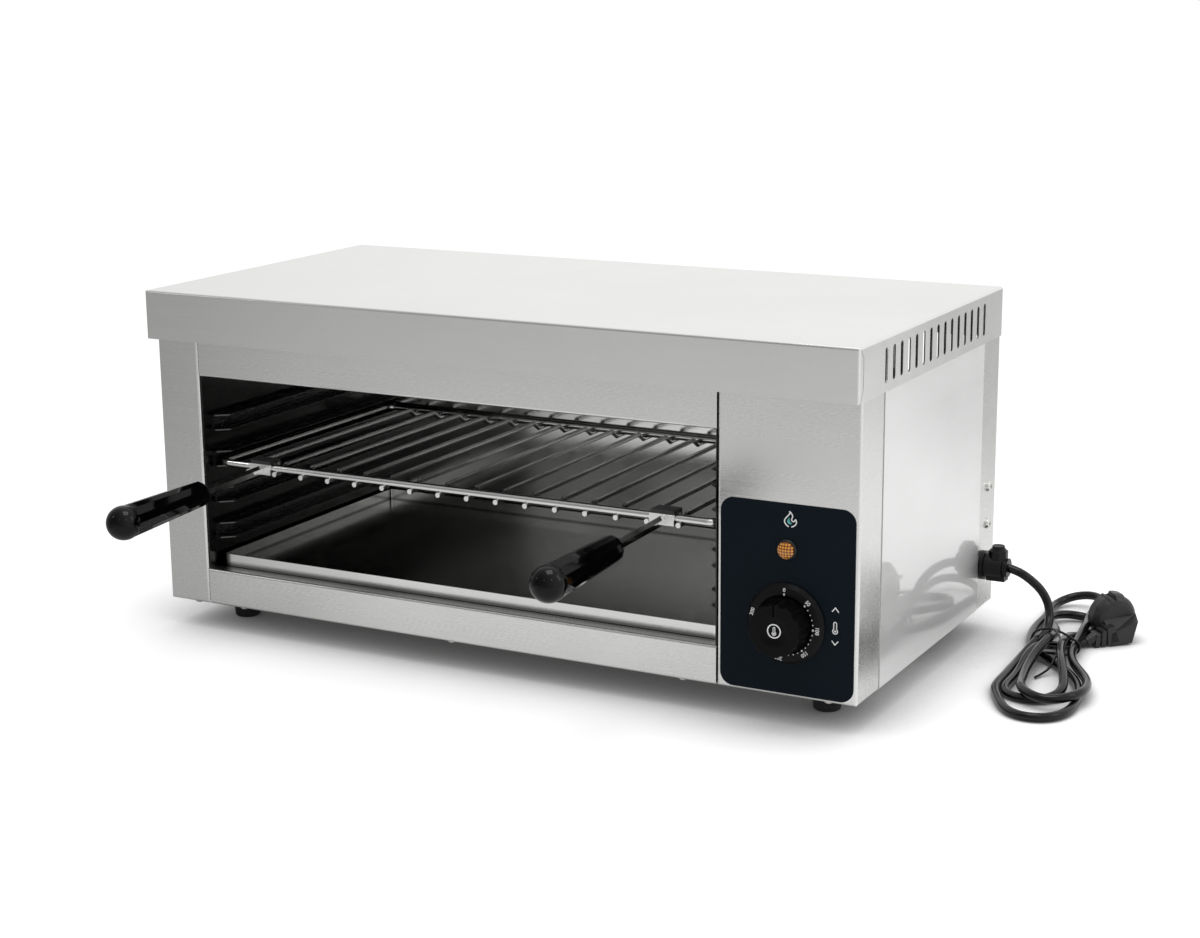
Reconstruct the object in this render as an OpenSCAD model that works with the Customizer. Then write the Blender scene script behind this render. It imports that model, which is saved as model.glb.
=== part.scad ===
// Counter-top cheese melter: a small electric salamander grill with a sliding wire rack,
// a drip tray, two tubular heating elements under a reflector and a capillary thermostat.
// Millimetres. X runs to the right, Y to the back and Z up. The origin lies on the counter,
// midway between the side panels and midway between the handle tips and the back panel.

/* [Casing] */
// Width across the side panels
cab_w = 608; // [560:1:700]
// Depth from the front panels' face to the back panel's face
cab_d = 296; // [280:1:340]
// Height of the casing from its bottom edge to the sheet of the cover
cab_h = 257; // [250:1:290]
// Thickness of the sheet steel
sheet = 1; // [0.8:0.1:1.2]
// Outside radius of the bends in the sheet steel
bend_r = 2; // [1.6:0.1:2.6]
// Width of the left front post
post_w = 39.5; // [34:0.5:46]
// Width of the control panel's front
control_w = 108.5; // [104:0.5:116]
// How far the front posts wrap round the sides
front_wrap = 41; // [34:0.5:50]
// How far the back panel wraps round the sides
back_wrap = 38; // [34:0.5:44]
// How far the front posts and the back panel's wraps lie inside the side panels' faces
wrap_recess = 0.5; // [0.3:0.1:0.8]
// Gap between two front panels that meet edge to edge
panel_gap = 0.8; // [0.5:0.1:2]
// Width of the seam between a side panel and a wrap
seam = 1.2; // [0.4:0.1:2]
// Depth of the folded flanges along the panels' edges
flange = 13; // [11:0.5:15]

/* [Cover] */
// Height of the cover's front and side lips
lip_h = 39; // [34:0.5:44]
// How far the cover's front lip stands in front of the front panels
lid_over = 11; // [6:0.5:16]
// How far the cover ends in front of the back panel's face
lid_back_gap = 3; // [1.5:0.5:6]
// Clearance between the cover's side lips and the side panels
lid_fit = 0.3; // [0.2:0.1:0.6]
// Number of ventilation slots in each side lip
vent_n = 15; // [8:1:16]
// Spacing of the ventilation slots
vent_pitch = 15; // [11:0.5:16]
// Width of a ventilation slot
vent_w = 5; // [3:0.5:6]
// Length of a ventilation slot
vent_len = 25; // [16:1:28]
// Depth of the front lip's tab that wraps round each corner
tab_d = 7; // [5:0.5:14]
// Width of the slit between that tab and the side lip
tab_slit = 0.6; // [0.3:0.1:1]

/* [Cavity] */
// Height of the front sill under the opening
sill_h = 29.5; // [27:0.5:36]
// Height of the open front of the cavity
opening_h = 160; // [150:1:172]
// Height of the reflector's top above the casing's bottom edge
reflector_h = 226; // [220:1:232]
// Distance from the front panels' face to the cavity's back wall
cavity_d = 264; // [250:1:270]
// Number of rack levels
guide_n = 4; // [3:1:4]
// Height of one level above the one under it
guide_pitch = 30; // [26:1:30]
// Outside height of a guide channel
guide_h = 13; // [12:0.5:16]
// Width of a guide channel, from the cavity wall
guide_w = 12; // [9:0.5:14]
// Height of the lowest channel above the sill
guide_rise = 23.5; // [16:0.5:26]
// Length of the slant at the channels' front corners, which leads the rack in
guide_lead = 8; // [4:0.5:12]
// Distance of the channels' front ends from the front panels' face
guide_inset = 12; // [8:0.5:14]
// Level in which the rack lies, counted from the bottom
rack_level = 3; // [1:1:3]

/* [Rack] */
// Diameter of the rack's frame rod
rod_d = 6; // [5:0.5:7]
// Diameter of the rack's cross wires
wire_d = 4; // [3:0.5:4.5]
// Spacing of the cross wires
wire_pitch = 25.7; // [18:0.1:32]
// Distance of the front rod from the front panels' face
rack_inset = 14; // [12:0.5:20]
// Clearance between the rack's side rods and the cavity walls' channels
rack_play = 1; // [0.8:0.1:3]
// How far the rack lies to the right of the middle between its channels
rack_lie = 0.5; // [0:0.1:1]
// Clearance of moving pieces over what carries them
run_gap = 0.3; // [0.2:0.05:0.5]
// Corner radius of the frame rod
rack_r = 9; // [7:0.5:14]
// Length of the sloping stretch where a wire dips under the frame rods
dip = 9; // [6:0.5:14]

/* [Handles] */
// Distance from the rack's front rod to the handles' tips
handle_reach = 185; // [160:1:200]
// Length of a grip with its ball end
grip_len = 103; // [90:1:125]
// Diameter of a grip at its ball end
grip_d = 26; // [22:0.5:30]
// Diameter of a grip at its inner end
grip_neck_d = 20; // [17:0.5:23]
// Width of the hexagonal handle rod across its flats
hex_af = 7; // [5:0.5:8]
// Width of a handle clamp
clamp_w = 20; // [16:0.5:21]
// How far the handles' axis lies below the rack's frame rod
handle_drop = 2; // [0:0.5:3]
// Angle at which the handles hang down from their clamps, in degrees
handle_sag = 1.4; // [0:0.2:3]

/* [Drip tray] */
// Height of the drip tray's rim
tray_h = 10; // [6:0.5:16]
// Clearance between the tray and each cavity wall
tray_play = 4; // [2:0.5:6]

/* [Controls] */
// Width of the dark control label
label_w = 103; // [90:0.5:106]
// Height of the dark control label
label_h = 140; // [120:1:190]
// Corner radius of the control label
label_r = 10; // [4:0.5:20]
// Thickness of the control label
label_t = 0.5; // [0.3:0.1:1]
// Height of the label's lower edge above the casing's bottom edge
label_rise = 2; // [1:0.5:20]
// Height of the thermostat's shaft above the casing's bottom edge
dial_z = 54.6; // [50:0.1:70]
// Outside diameter of the scale ring
ring_d = 59.5; // [50:0.5:64]
// Diameter of the knob's grip
knob_d = 39; // [34:0.5:42]
// How far the knob stands out of the label
knob_h = 23; // [16:0.5:28]
// Diameter of the thermostat's shaft
shaft_d = 6; // [5:0.5:8]
// Running clearance round the shaft, on the radius
shaft_fit = 0.05; // [0.03:0.01:0.08]
// Height of the pilot lamp above the casing's bottom edge
lamp_z = 108.5; // [100:0.5:120]
// Diameter of the pilot lamp's rim
lamp_d = 15; // [12:0.5:18]

/* [Heating] */
// Diameter of the heating elements' tube
heater_d = 7; // [6:0.5:8.5]
// Spacing of a heating element's two legs
heater_gap = 60; // [40:1:70]
// Distance of the heating elements' axis under the reflector
heater_drop = 21; // [18:0.5:28]
// Distance of the front element's middle from the front panels' face
heater_front = 75; // [65:1:85]
// Distance between the middles of the two elements
heater_pitch = 110; // [100:1:120]

/* [Feet and cord] */
// Height of the feet
leg_h = 22; // [16:0.5:30]
// Diameter of a foot at its top
foot_d = 25; // [20:0.5:32]
// Distance of the feet from the side panels' faces
foot_side = 42; // [30:1:60]
// Distance of the feet from the front and back faces
foot_end = 47; // [36:1:60]
// Diameter of the mains cord
cord_d = 7; // [6:0.5:8]
// Distance of the cord gland from the back panel's face
gland_back = 26.5; // [24:0.5:28]
// Height of the cord gland above the casing's bottom edge
gland_z = 36; // [30:0.5:44]

/* [Hidden] */
$fn = 48;

half_w = cab_w / 2;
wrap_x = half_w - wrap_recess;
inner_x = wrap_x - sheet;
joggle_x = inner_x - sheet;
lid_x = half_w + lid_fit + sheet;
// The origin lies midway between the handle tips and the back panel.
front_y = (handle_reach - rack_inset - cab_d) / 2;
back_y = front_y + cab_d;
lid_front = front_y - lid_over;
lid_back = back_y - lid_back_gap;
// Underside of the cover's sheet, and the top of the base plate on the bottom flanges.
lid_z = leg_h + cab_h;
base_z = leg_h + 2 * sheet;

// Front panels between the two posts.
panel_x0 = -wrap_x + post_w + panel_gap;
panel_x1 = wrap_x - control_w - panel_gap;
sill_z = leg_h + sill_h;
header_z = sill_z + opening_h;
side_y0 = front_y + front_wrap + seam;
side_y1 = back_y - back_wrap - seam;
// The side panels' tongues stay clear of the bends above and below them.
tongue_in = 9;
tongue_z0 = max(base_z, leg_h + bend_r);
tongue_z1 = lid_z - bend_r;
vent_drop = 7.5;
vent_shift = 3.5;
vent_z = lid_z + sheet - vent_drop - vent_len / 2;
vent_mid = (lid_front + lid_back) / 2 + vent_shift;
vent_half = (vent_n - 1) / 2 * vent_pitch;

// Cavity: inside faces of its walls.
cav_x0 = panel_x0 + sheet;
cav_x1 = panel_x1 - sheet;
cav_y0 = front_y + sheet;
cav_y1 = front_y + cavity_d;
ceiling_z = leg_h + reflector_h;
// Front flap of the reflector: its bend, and how far it slopes forward and down.
flap_y = front_y + 34;
flap_reach = 19;
flap_drop = 25;

// Rack: centre lines of its frame rod and wires.
channel_z = sill_z + guide_rise;
rack_x0 = cav_x0 + sheet + rack_play + rack_lie + rod_d / 2;
rack_x1 = cav_x1 - sheet - rack_play + rack_lie - rod_d / 2;
rack_mid = (rack_x0 + rack_x1) / 2;
rack_y0 = front_y + rack_inset;
rack_y1 = cav_y1 - rack_play - rod_d / 2;
rack_z = channel_z + (rack_level - 1) * guide_pitch + sheet + run_gap + rod_d / 2;
// A weld joins each wire to the frame rods it passes under.
weld = 0.6;
wire_low = rack_z - rod_d / 2 - wire_d / 2 + weld;
wire_high = rack_z + rod_d / 2 - wire_d / 2;
wire_edge = 24;
wire_n = floor((rack_x1 - rack_x0 - 2 * wire_edge) / wire_pitch) + 1;
wire_tip = 1;

// Handles: each clamp holds the front rod in a trough between the outermost two wires.
handle_x = (wire_n / 2 - 1) * wire_pitch;
clamp_t = 2;
clamp_fit = 0.2;
clamp_front = rack_y0 - rod_d / 2 - clamp_fit - clamp_t;
clamp_low = rack_z - rod_d / 2 - clamp_fit - clamp_t;
clamp_high = rack_z + rod_d / 2 + clamp_fit;
clamp_screw_y = rack_y0 + rod_d / 2 + 2.6;
clamp_back = clamp_screw_y + 2.4 + clamp_t;
clamp_screw_x = clamp_w / 2 - 4;
clamp_lid_t = 2.5;
clamp_skin = 0.6;
tip_y = rack_y0 - handle_reach;
handle_z = rack_z - handle_drop;
stud_d = 5;
grip_in = 50;
grip_sides = 12;
handle_len = clamp_front - tip_y;

// Control panel.
control_x = wrap_x - control_w / 2;
label_y = front_y - label_t;
dial_h = leg_h + dial_z;
lamp_h = leg_h + lamp_z;
knob_gap = 0.5;
knob_y = label_y - knob_gap;
bush_d = 9.5;
plate_screw_x = 14;
dial_box = 40;
dial_box_in = 29;
dial_plate_t = 1.5;
dial_plate_h = 28;
skirt_in = knob_d / 2 - 1.6;
knob_edge = 1.4;

// Heating elements.
heater_h = ceiling_z - heater_drop;
heater_left = cav_x0 + 22;
heater_flange_d = 15;
heater_flange_t = 2;
heater_bush = 10;
heater_bush_len = 10;
heater_pin_d = 7;
heater_pin_len = 7;
heater_tab_len = 10;
heater_nut = 17;
heater_ys = [front_y + heater_front, front_y + heater_front + heater_pitch];
leg_ys = [for (y = heater_ys, s = [-1, 1]) y + s * heater_gap / 2];
hanger_x = cav_x0 + 55;
hanger_t = 1.5;
hanger_flange = 14;
hanger_edge = 10;
hanger_y0 = max(leg_ys[0] - hanger_edge, flap_y + 1);
hanger_y1 = leg_ys[3] + hanger_edge;
// Bulb of the thermostat under the elements, and its capillary tube.
sensor_d = 6;
sensor_len = 90;
sensor_z = heater_h - 22;
sensor_x = cav_x1 - 7;
sensor_y0 = front_y + 90;
clip_ys = [sensor_y0 + 15, sensor_y0 + 67];
clip_len = 8;
clip_t = 1.2;
clip_h = 13;
// The capillary tube leaves the bulb in a bend and crosses the wall squarely.
tube_d = 2;
tube_r = 6;
tube_neck = 1;
sensor_exit = sensor_y0 - tube_r - tube_neck;
tube_x = control_x - 14;
tube_y = front_y + 20;

// Right-hand corner at the back: gland, terminal block and their screws.
gland_y = back_y - gland_back;
gland_h = leg_h + gland_z;
gland_flange_d = 23.4;
gland_flange_t = 3;
gland_len = 19;
gland_tower = 13.5;
gland_end = wrap_x + gland_flange_t + gland_len;
gland_thread_d = 15;
gland_nut_t = 4;
sheath_x = wrap_x - 23;
core_d = 2.2;
side_screw_y = back_y - 18.5;
side_screw_z = [leg_h + 68.5, leg_h + 99];
bracket_t = 1.5;
bracket_x = joggle_x - bracket_t;
shelf_z = side_screw_z[0] - 6.5;
pole_pitch = 8;
pole_ys = [for (i = [-2 : 0]) side_screw_y - 0.5 + i * pole_pitch];
pole_d = 3.4;
lead_z = shelf_z + 6;
screw_d = 4;
screw_hole = 4.4;
screw_len = 7;
head_d = 7;
head_h = 2.2;
side_head_d = 8.5;
side_head_h = 2.6;
back_screw_x = joggle_x - flange / 2;
back_screw_low = leg_h + 40;
back_screw_top = lid_z - 42;
back_screw_z = [back_screw_low, (back_screw_low + back_screw_top) / 2, back_screw_top];
base_screw_y = front_y + flange / 2;
base_screw_in = 29.5;
post_screw_x = wrap_x - 23.75;
base_screw_x = [
    panel_x0 + base_screw_in, (panel_x0 + panel_x1) / 2, panel_x1 - base_screw_in,
    post_screw_x, -post_screw_x
];
foot_x = half_w - foot_side;
foot_y = [front_y + foot_end, back_y - foot_end];
foot_h = leg_h + sheet;
foot_screw_d = 5;
foot_sink = 8;

// Mains cord: points chosen along its way down to the counter and from the hank to the plug.
cord_r = cord_d / 2;
cord_sides = 12;
lead_route = [
    [gland_end, gland_y, gland_h], [333, 206.6, 56.2], [341, 206.4, 51.9], [348.5, 208.3, 45.9],
    [354, 209.3, 39.2], [358.4, 208, 31.5], [360.6, 205, 22.9], [360.5, 199.5, 14]
];
// Hank: x, y and radius along its outline, from the open lower loops to the upper loops.
hank_chain = [
    [400, 43, 26], [388, 103, 34.5], [374.5, 142, 25], [368, 180, 18], [361, 222, 21],
    [355, 334, 14.5]
];
hank_h = 16;
tie_y = 178;
tie_w = 4;
// Plug: middle of the face that carries the pins, its turn about Z and its tilt.
plug_at = [399, 244.5, 18.5];
plug_turn = 223;
plug_tilt = 25;
plug_d = 37;
plug_t = 14;
hump_t = 15;
plug_cord_z = -19;
relief_len = 33;
pin_d = 4.8;
pin_len = 19;
pin_gap = 19;
// Way of the cord out of the plug, and the middle of the relief's end.
plug_way = [cos(plug_tilt) * cos(plug_turn), cos(plug_tilt) * sin(plug_turn), -sin(plug_tilt)];
plug_exit = plug_at + relief_len * plug_way + plug_cord_z * [sin(plug_turn), -cos(plug_turn), 0];
tail_route = [[383.6, 192.5, 4.6], [385, 198, 4.3], [387.2, 204.4, 4.1], plug_exit];

// ---------- Shapes that repeat ----------

// Box between two corners.
module block(a, b) {
    translate(a) cube(b - a);
}

// Round bars along X, Y and Z from a point.
module rod_x(p, len, d) {
    translate(p) rotate([0, 90, 0]) cylinder(h = len, d = d);
}
module rod_y(p, len, d) {
    translate(p) rotate([-90, 0, 0]) cylinder(h = len, d = d);
}
module rod_z(p, len, d) {
    translate(p) cylinder(h = len, d = d);
}

// Rectangle from corner to corner with rounded corners.
module round_frame(x0, x1, y0, y1, r) {
    for (x = [x0 + r, x1 - r], y = [y0 + r, y1 - r])
        translate([x, y]) circle(r);
    translate([x0, y0 + r]) square([x1 - x0, y1 - y0 - 2 * r]);
    translate([x0 + r, y0]) square([x1 - x0 - 2 * r, y1 - y0]);
}

// Rectangle whose two corners on the low-Y side are rounded.
module bent_outline(x0, x1, y0, y1, r) {
    round_frame(x0, x1, y0, y1, r);
    translate([x0, y1 - 2 * r]) square([x1 - x0, 2 * r]);
}

// Box with rounded upright edges at the front and rounded long edges along Y and X.
module folded_box(x0, x1, y0, y1, z0, z1, r) {
    intersection() {
        translate([0, 0, z0]) linear_extrude(z1 - z0) bent_outline(x0, x1, y0, y1, r);
        translate([0, y1, 0])
            rotate([90, 0, 0]) linear_extrude(y1 - y0) round_frame(x0, x1, z0, z1, r);
        // The side elevation is drawn with Z along its first axis.
        translate([x0, 0, 0])
            rotate([0, -90, 0]) mirror([0, 0, 1])
                linear_extrude(x1 - x0) bent_outline(z0, z1, y0, y1, r);
    }
}

// Folded sheet: front, both legs, top and bottom, open at the back.
module folded_shell(x0, x1, y0, y1, z0, z1) {
    difference() {
        folded_box(x0, x1, y0, y1, z0, z1, bend_r);
        folded_box(x0 + sheet, x1 - sheet, y0 + sheet, y1 + 10, z0 + sheet, z1 - sheet,
                   bend_r - sheet);
    }
}

// Slot with round ends, long along the second axis.
module slot_outline(w, len) {
    for (s = [-1, 1])
        translate([0, s * (len - w) / 2]) circle(d = w);
    square([w, len - w], center = true);
}

// Pan-head screw with a cross recess: head from z 0 up, shank down to -len.
module cross_screw(len, d, hd, hh) {
    difference() {
        union() {
            translate([0, 0, -len]) cylinder(h = len, d = d);
            rotate_extrude()
                polygon([[0, 0], [hd / 2, 0], [hd / 2, hh * 0.4], [hd * 0.43, hh * 0.8],
                         [hd * 0.3, hh], [0, hh]]);
        }
        for (a = [0, 90])
            rotate([0, 0, a])
                translate([-hd * 0.27, -0.45, hh - 1.1]) cube([hd * 0.54, 0.9, 2]);
    }
}

// Hexagonal nut from z 0 up.
module hex_nut(af, bore, t) {
    difference() {
        cylinder(h = t, d = af / cos(30), $fn = 6);
        translate([0, 0, -1]) cylinder(h = t + 2, d = bore);
    }
}

// Round wire from point to point; a ball fills each bend.
module wire(points, d) {
    for (i = [0 : len(points) - 2]) {
        step = points[i + 1] - points[i];
        translate(points[i])
            rotate([0, acos(step[2] / norm(step)), atan2(step[1], step[0])])
                cylinder(h = norm(step), d = d);
    }
    for (i = [1 : len(points) - 2])
        translate(points[i]) sphere(d = d + 0.2);
}

// Tube swept along a route: a ring of points square to the route at each of its points.
function unit(v) = v / norm(v);
function route_dir(p, i) = unit(p[min(i + 1, len(p) - 1)] - p[max(i - 1, 0)]);
function ring_at(d, c, r, n) =
    let (s = unit(cross(d, [0, 0, 1])), u = cross(s, d))
    [for (k = [0 : n - 1]) c + r * (cos(360 * k / n) * s + sin(360 * k / n) * u)];
module swept_tube(p, r, n, first, final) {
    last = len(p) - 1;
    rings = [
        for (i = [0 : last])
            each ring_at(i == 0 ? first : i == last ? final : route_dir(p, i), p[i], r, n)
    ];
    sides = [
        for (i = [0 : last - 1], k = [0 : n - 1])
            [i * n + k, (i + 1) * n + k, (i + 1) * n + (k + 1) % n, i * n + (k + 1) % n]
    ];
    start = [for (k = [0 : n - 1]) k];
    end = [for (k = [n - 1 : -1 : 0]) last * n + k];
    polyhedron(points = rings, faces = concat([start], sides, [end]));
}

// Corners of the belt that wraps two circles, each given as x, y and radius.
function belt(a, b) =
    let (d = [b[0] - a[0], b[1] - a[1]], turn = atan2(d[1], d[0]),
         lean = acos((a[2] - b[2]) / norm(d)))
    [
        for (e = [[a, 1], [a, -1], [b, -1], [b, 1]])
            [e[0][0] + e[0][2] * cos(turn + e[1] * lean),
             e[0][1] + e[0][2] * sin(turn + e[1] * lean)]
    ];

// ---------- Casing ----------

module top_cover() {
    color([0.80, 0.80, 0.78]) {
        top = lid_z + sheet;
        low = top - lip_h;
        difference() {
            folded_box(-lid_x, lid_x, lid_front, lid_back, low - 10, top, bend_r);
            folded_box(-lid_x + sheet, lid_x - sheet, lid_front + sheet, lid_back + 10,
                       low - 20, lid_z, bend_r - sheet);
            block([-lid_x - 1, lid_front - 1, low - 11], [lid_x + 1, lid_back + 1, low]);
            for (s = [-1, 1], i = [0 : vent_n - 1])
                translate([s * lid_x, vent_mid - vent_half + i * vent_pitch, vent_z])
                    rotate([90, 0, 90])
                        linear_extrude(4 * sheet, center = true) slot_outline(vent_w, vent_len);
            // Slit that parts each slant-ended tab of the front lip from the side lip.
            for (s = [-1, 1])
                translate([s * lid_x, lid_front, low])
                    rotate([90, 0, 90])
                        linear_extrude(4 * sheet, center = true)
                            polygon([
                                [sheet, -1], [sheet, 0], [tab_d, tab_d + 2],
                                [tab_d, lip_h - tab_d - 1], [bend_r, lip_h - bend_r],
                                [bend_r + tab_slit, lip_h - bend_r],
                                [tab_d + tab_slit, lip_h - tab_d - 1],
                                [tab_d + tab_slit, tab_d + 2], [sheet + tab_slit, 0],
                                [sheet + tab_slit, -1]
                            ]);
        }
    }
}

// Side panel for the right: its joggled edges reach behind the wraps and the back panel.
module side_panel() {
    t = sheet;
    difference() {
        union() {
            // Web and the flanges bent inwards along its upper and lower edges.
            translate([0, side_y1, 0])
                rotate([90, 0, 0])
                    linear_extrude(side_y1 - side_y0)
                        difference() {
                            round_frame(0, half_w, leg_h, lid_z, bend_r);
                            round_frame(-flange, half_w - t, leg_h + t, lid_z - t, bend_r - t);
                            translate([-1, leg_h - 1])
                                square([joggle_x - flange + 1, cab_h + 2]);
                        }
            translate([0, 0, tongue_z0])
                linear_extrude(tongue_z1 - tongue_z0)
                    polygon([
                        [inner_x, side_y0 - tongue_in], [inner_x, side_y0], [half_w, side_y0],
                        [half_w, side_y1], [inner_x, side_y1], [inner_x, back_y - 2 * t],
                        [inner_x - t, back_y - t], [joggle_x - flange, back_y - t],
                        [joggle_x - flange, back_y - 2 * t], [joggle_x - t / 2, back_y - 2 * t],
                        [joggle_x, back_y - 2.5 * t], [joggle_x, side_y1 - t],
                        [half_w - t, side_y1 - t], [half_w - t, side_y0 + t],
                        [joggle_x, side_y0 + t], [joggle_x, side_y0 - tongue_in]
                    ]);
        }
        // Window behind the cover's slots.
        block([half_w - 2 * t, vent_mid - vent_half - vent_pitch / 2, vent_z - vent_len / 2 - 2],
              [half_w + 1, vent_mid + vent_half + vent_pitch / 2, lid_z - 4]);
        back_holes();
    }
}

// Holes of the screws that hold the back panel to the side panels.
module back_holes() {
    for (s = [-1, 1], z = back_screw_z)
        rod_y([s * back_screw_x, back_y - 8, z], 16, screw_hole);
}

// Holes through the right-hand wrap for the gland and the bracket's screws.
module gland_holes() {
    rod_x([half_w - 20, gland_y, gland_h], 40, gland_thread_d + 0.4);
    for (z = side_screw_z)
        rod_x([half_w - 20, side_screw_y, z], 40, screw_hole);
}

// Holes of the screws under the front flanges.
module base_holes() {
    for (x = base_screw_x)
        rod_z([x, base_screw_y, leg_h - 1], 4, screw_hole);
}

module left_side_panel() {
    color([0.78, 0.78, 0.77]) mirror([1, 0, 0]) side_panel();
}

module right_side_panel() {
    color([0.84, 0.85, 0.83])
        difference() {
            side_panel();
            gland_holes();
        }
}

module left_front_post() {
    color([0.70, 0.71, 0.70])
        difference() {
            folded_shell(-wrap_x, -wrap_x + post_w, front_y, front_y + front_wrap, leg_h, lid_z);
            block([-inner_x + flange, front_y + flange, leg_h - 1],
                  [-wrap_x + post_w + 1, front_y + front_wrap + 1, lid_z + 1]);
            base_holes();
        }
}

module control_panel() {
    color([0.70, 0.71, 0.70])
        difference() {
            folded_shell(wrap_x - control_w, wrap_x, front_y, front_y + front_wrap, leg_h, lid_z);
            block([wrap_x - control_w - 1, front_y + flange, leg_h - 1],
                  [inner_x - flange, front_y + front_wrap + 1, lid_z + 1]);
            base_holes();
            control_holes();
        }
}

// Openings for the thermostat, its screws and the pilot lamp.
module control_holes() {
    rod_y([control_x, front_y - 5, dial_h], 10, bush_d + 1);
    for (s = [-1, 1])
        rod_y([control_x + s * plate_screw_x, front_y - 5, dial_h], 10, screw_hole);
    rod_y([control_x, front_y - 5, lamp_h], 10, lamp_d - 3);
}

// Front panel with flanges along its upper and lower edges, notched beside the cavity walls.
module front_panel(z0, z1, cut) {
    difference() {
        translate([panel_x0, 0, 0])
            rotate([0, -90, 0]) mirror([0, 0, 1])
                linear_extrude(panel_x1 - panel_x0)
                    difference() {
                        bent_outline(z0, z1, front_y, front_y + flange, bend_r);
                        bent_outline(z0 + sheet, z1 - sheet, front_y + sheet,
                                     front_y + flange + 10, bend_r - sheet);
                    }
        for (x = [panel_x0 - 1, cav_x1 - 0.2])
            block([x, front_y + sheet, cut], [x + sheet + 1.2, front_y + flange + 1, cut + 6]);
    }
}

module upper_front_panel() {
    color([0.68, 0.69, 0.68]) front_panel(header_z, lid_z, header_z - 3);
}

module lower_front_panel() {
    color([0.74, 0.75, 0.74])
        difference() {
            front_panel(leg_h, sill_z, sill_z - 3);
            base_holes();
        }
}

module back_panel() {
    color([0.74, 0.75, 0.74])
        difference() {
            translate([0, front_y + back_y, 0]) rotate([0, 0, 180])
                folded_shell(-wrap_x, wrap_x, front_y, front_y + back_wrap, leg_h, lid_z);
            block([-inner_x + flange, back_y - back_wrap - 1, leg_h - 1],
                  [inner_x - flange, back_y - flange, lid_z + 1]);
            gland_holes();
            back_holes();
            // Slots that let the warm air out behind the cavity and the controls.
            for (x0 = [-200, -60, 80, 250], i = [-3 : 3])
                translate([x0 + i * 11, back_y, ceiling_z - 25])
                    rotate([90, 0, 0])
                        linear_extrude(6, center = true) slot_outline(4, 34);
        }
}

module base_plate() {
    color([0.62, 0.63, 0.62])
        difference() {
            translate([0, 0, leg_h + sheet])
                linear_extrude(sheet)
                    round_frame(-wrap_x + bend_r, wrap_x - bend_r, front_y + bend_r,
                                back_y - bend_r, bend_r);
            for (x = [-wrap_x + post_w - sheet, wrap_x - control_w])
                block([x - panel_gap / 2, front_y, leg_h],
                      [x + sheet + panel_gap / 2, front_y + flange + 0.5, base_z + 1]);
            for (x = base_screw_x)
                rod_z([x, base_screw_y, leg_h - 1], 6, screw_hole);
            for (s = [-1, 1], y = foot_y)
                rod_z([s * foot_x, y, leg_h - 1], 6, foot_screw_d + 0.4);
            for (x = [control_x - 25, control_x + 25], i = [0 : 6])
                translate([x, 20 + i * 15, 0])
                    rotate([0, 0, 90])
                        translate([0, 0, leg_h]) linear_extrude(4) slot_outline(4, 32);
        }
}

// ---------- Cavity ----------

module cavity_side(x) {
    block([x, cav_y0, base_z], [x + sheet, cav_y1 + sheet, ceiling_z]);
}

module left_cavity_wall() {
    color([0.55, 0.56, 0.55])
        difference() {
            cavity_side(panel_x0);
            // Notches over the feet's nuts.
            for (y = foot_y)
                block([panel_x0 - 1, y - 8, base_z - 1], [cav_x0 + 1, y + 8, base_z + 9]);
        }
}

module right_cavity_wall() {
    color([0.55, 0.56, 0.55])
        difference() {
            cavity_side(cav_x1);
            for (y = leg_ys)
                rod_x([cav_x1 - 2, y, heater_h], 6, heater_bush + 0.4);
            rod_x([cav_x1 - 2, sensor_exit, sensor_z], 6, 3);
        }
}

module cavity_back_wall() {
    color([0.55, 0.56, 0.55])
        block([cav_x0, cav_y1, base_z], [cav_x1, cav_y1 + sheet, ceiling_z]);
}

module cavity_floor() {
    color([0.55, 0.56, 0.55])
        block([cav_x0, front_y + flange, sill_z - sheet], [cav_x1, cav_y1, sill_z]);
}

// Channels of one side, open towards the cavity; the web lies on the wall at x = 0.
module channels() {
    for (i = [0 : guide_n - 1]) {
        z = channel_z + i * guide_pitch;
        difference() {
            translate([0, 0, z])
                linear_extrude(guide_h)
                    polygon([
                        [0, front_y + guide_inset], [guide_w / 4, front_y + guide_inset],
                        [guide_w, front_y + guide_inset + guide_lead], [guide_w, cav_y1],
                        [0, cav_y1]
                    ]);
            block([sheet, front_y, z + sheet], [guide_w + 1, cav_y1 + 1, z + guide_h - sheet]);
        }
    }
}

module left_rack_channels() {
    color([0.66, 0.67, 0.66]) translate([cav_x0, 0, 0]) channels();
}

module right_rack_channels() {
    color([0.66, 0.67, 0.66]) translate([cav_x1, 0, 0]) mirror([1, 0, 0]) channels();
}

module heat_reflector() {
    color([0.72, 0.72, 0.70]) {
        block([panel_x0, flap_y, ceiling_z], [panel_x1, cav_y1 + sheet, ceiling_z + sheet]);
        // Front flap that throws the heat back down.
        translate([cav_x0 + 0.5, 0, 0])
            rotate([90, 0, 90])
                linear_extrude(cav_x1 - cav_x0 - 1)
                    polygon([
                        [flap_y, ceiling_z], [flap_y, ceiling_z + sheet],
                        [flap_y - 0.6 * sheet, ceiling_z + sheet],
                        [flap_y - flap_reach, ceiling_z - flap_drop],
                        [flap_y - flap_reach + 1.2 * sheet, ceiling_z - flap_drop - 0.4 * sheet],
                        [flap_y + 0.2 * sheet, ceiling_z]
                    ]);
    }
}

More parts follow.
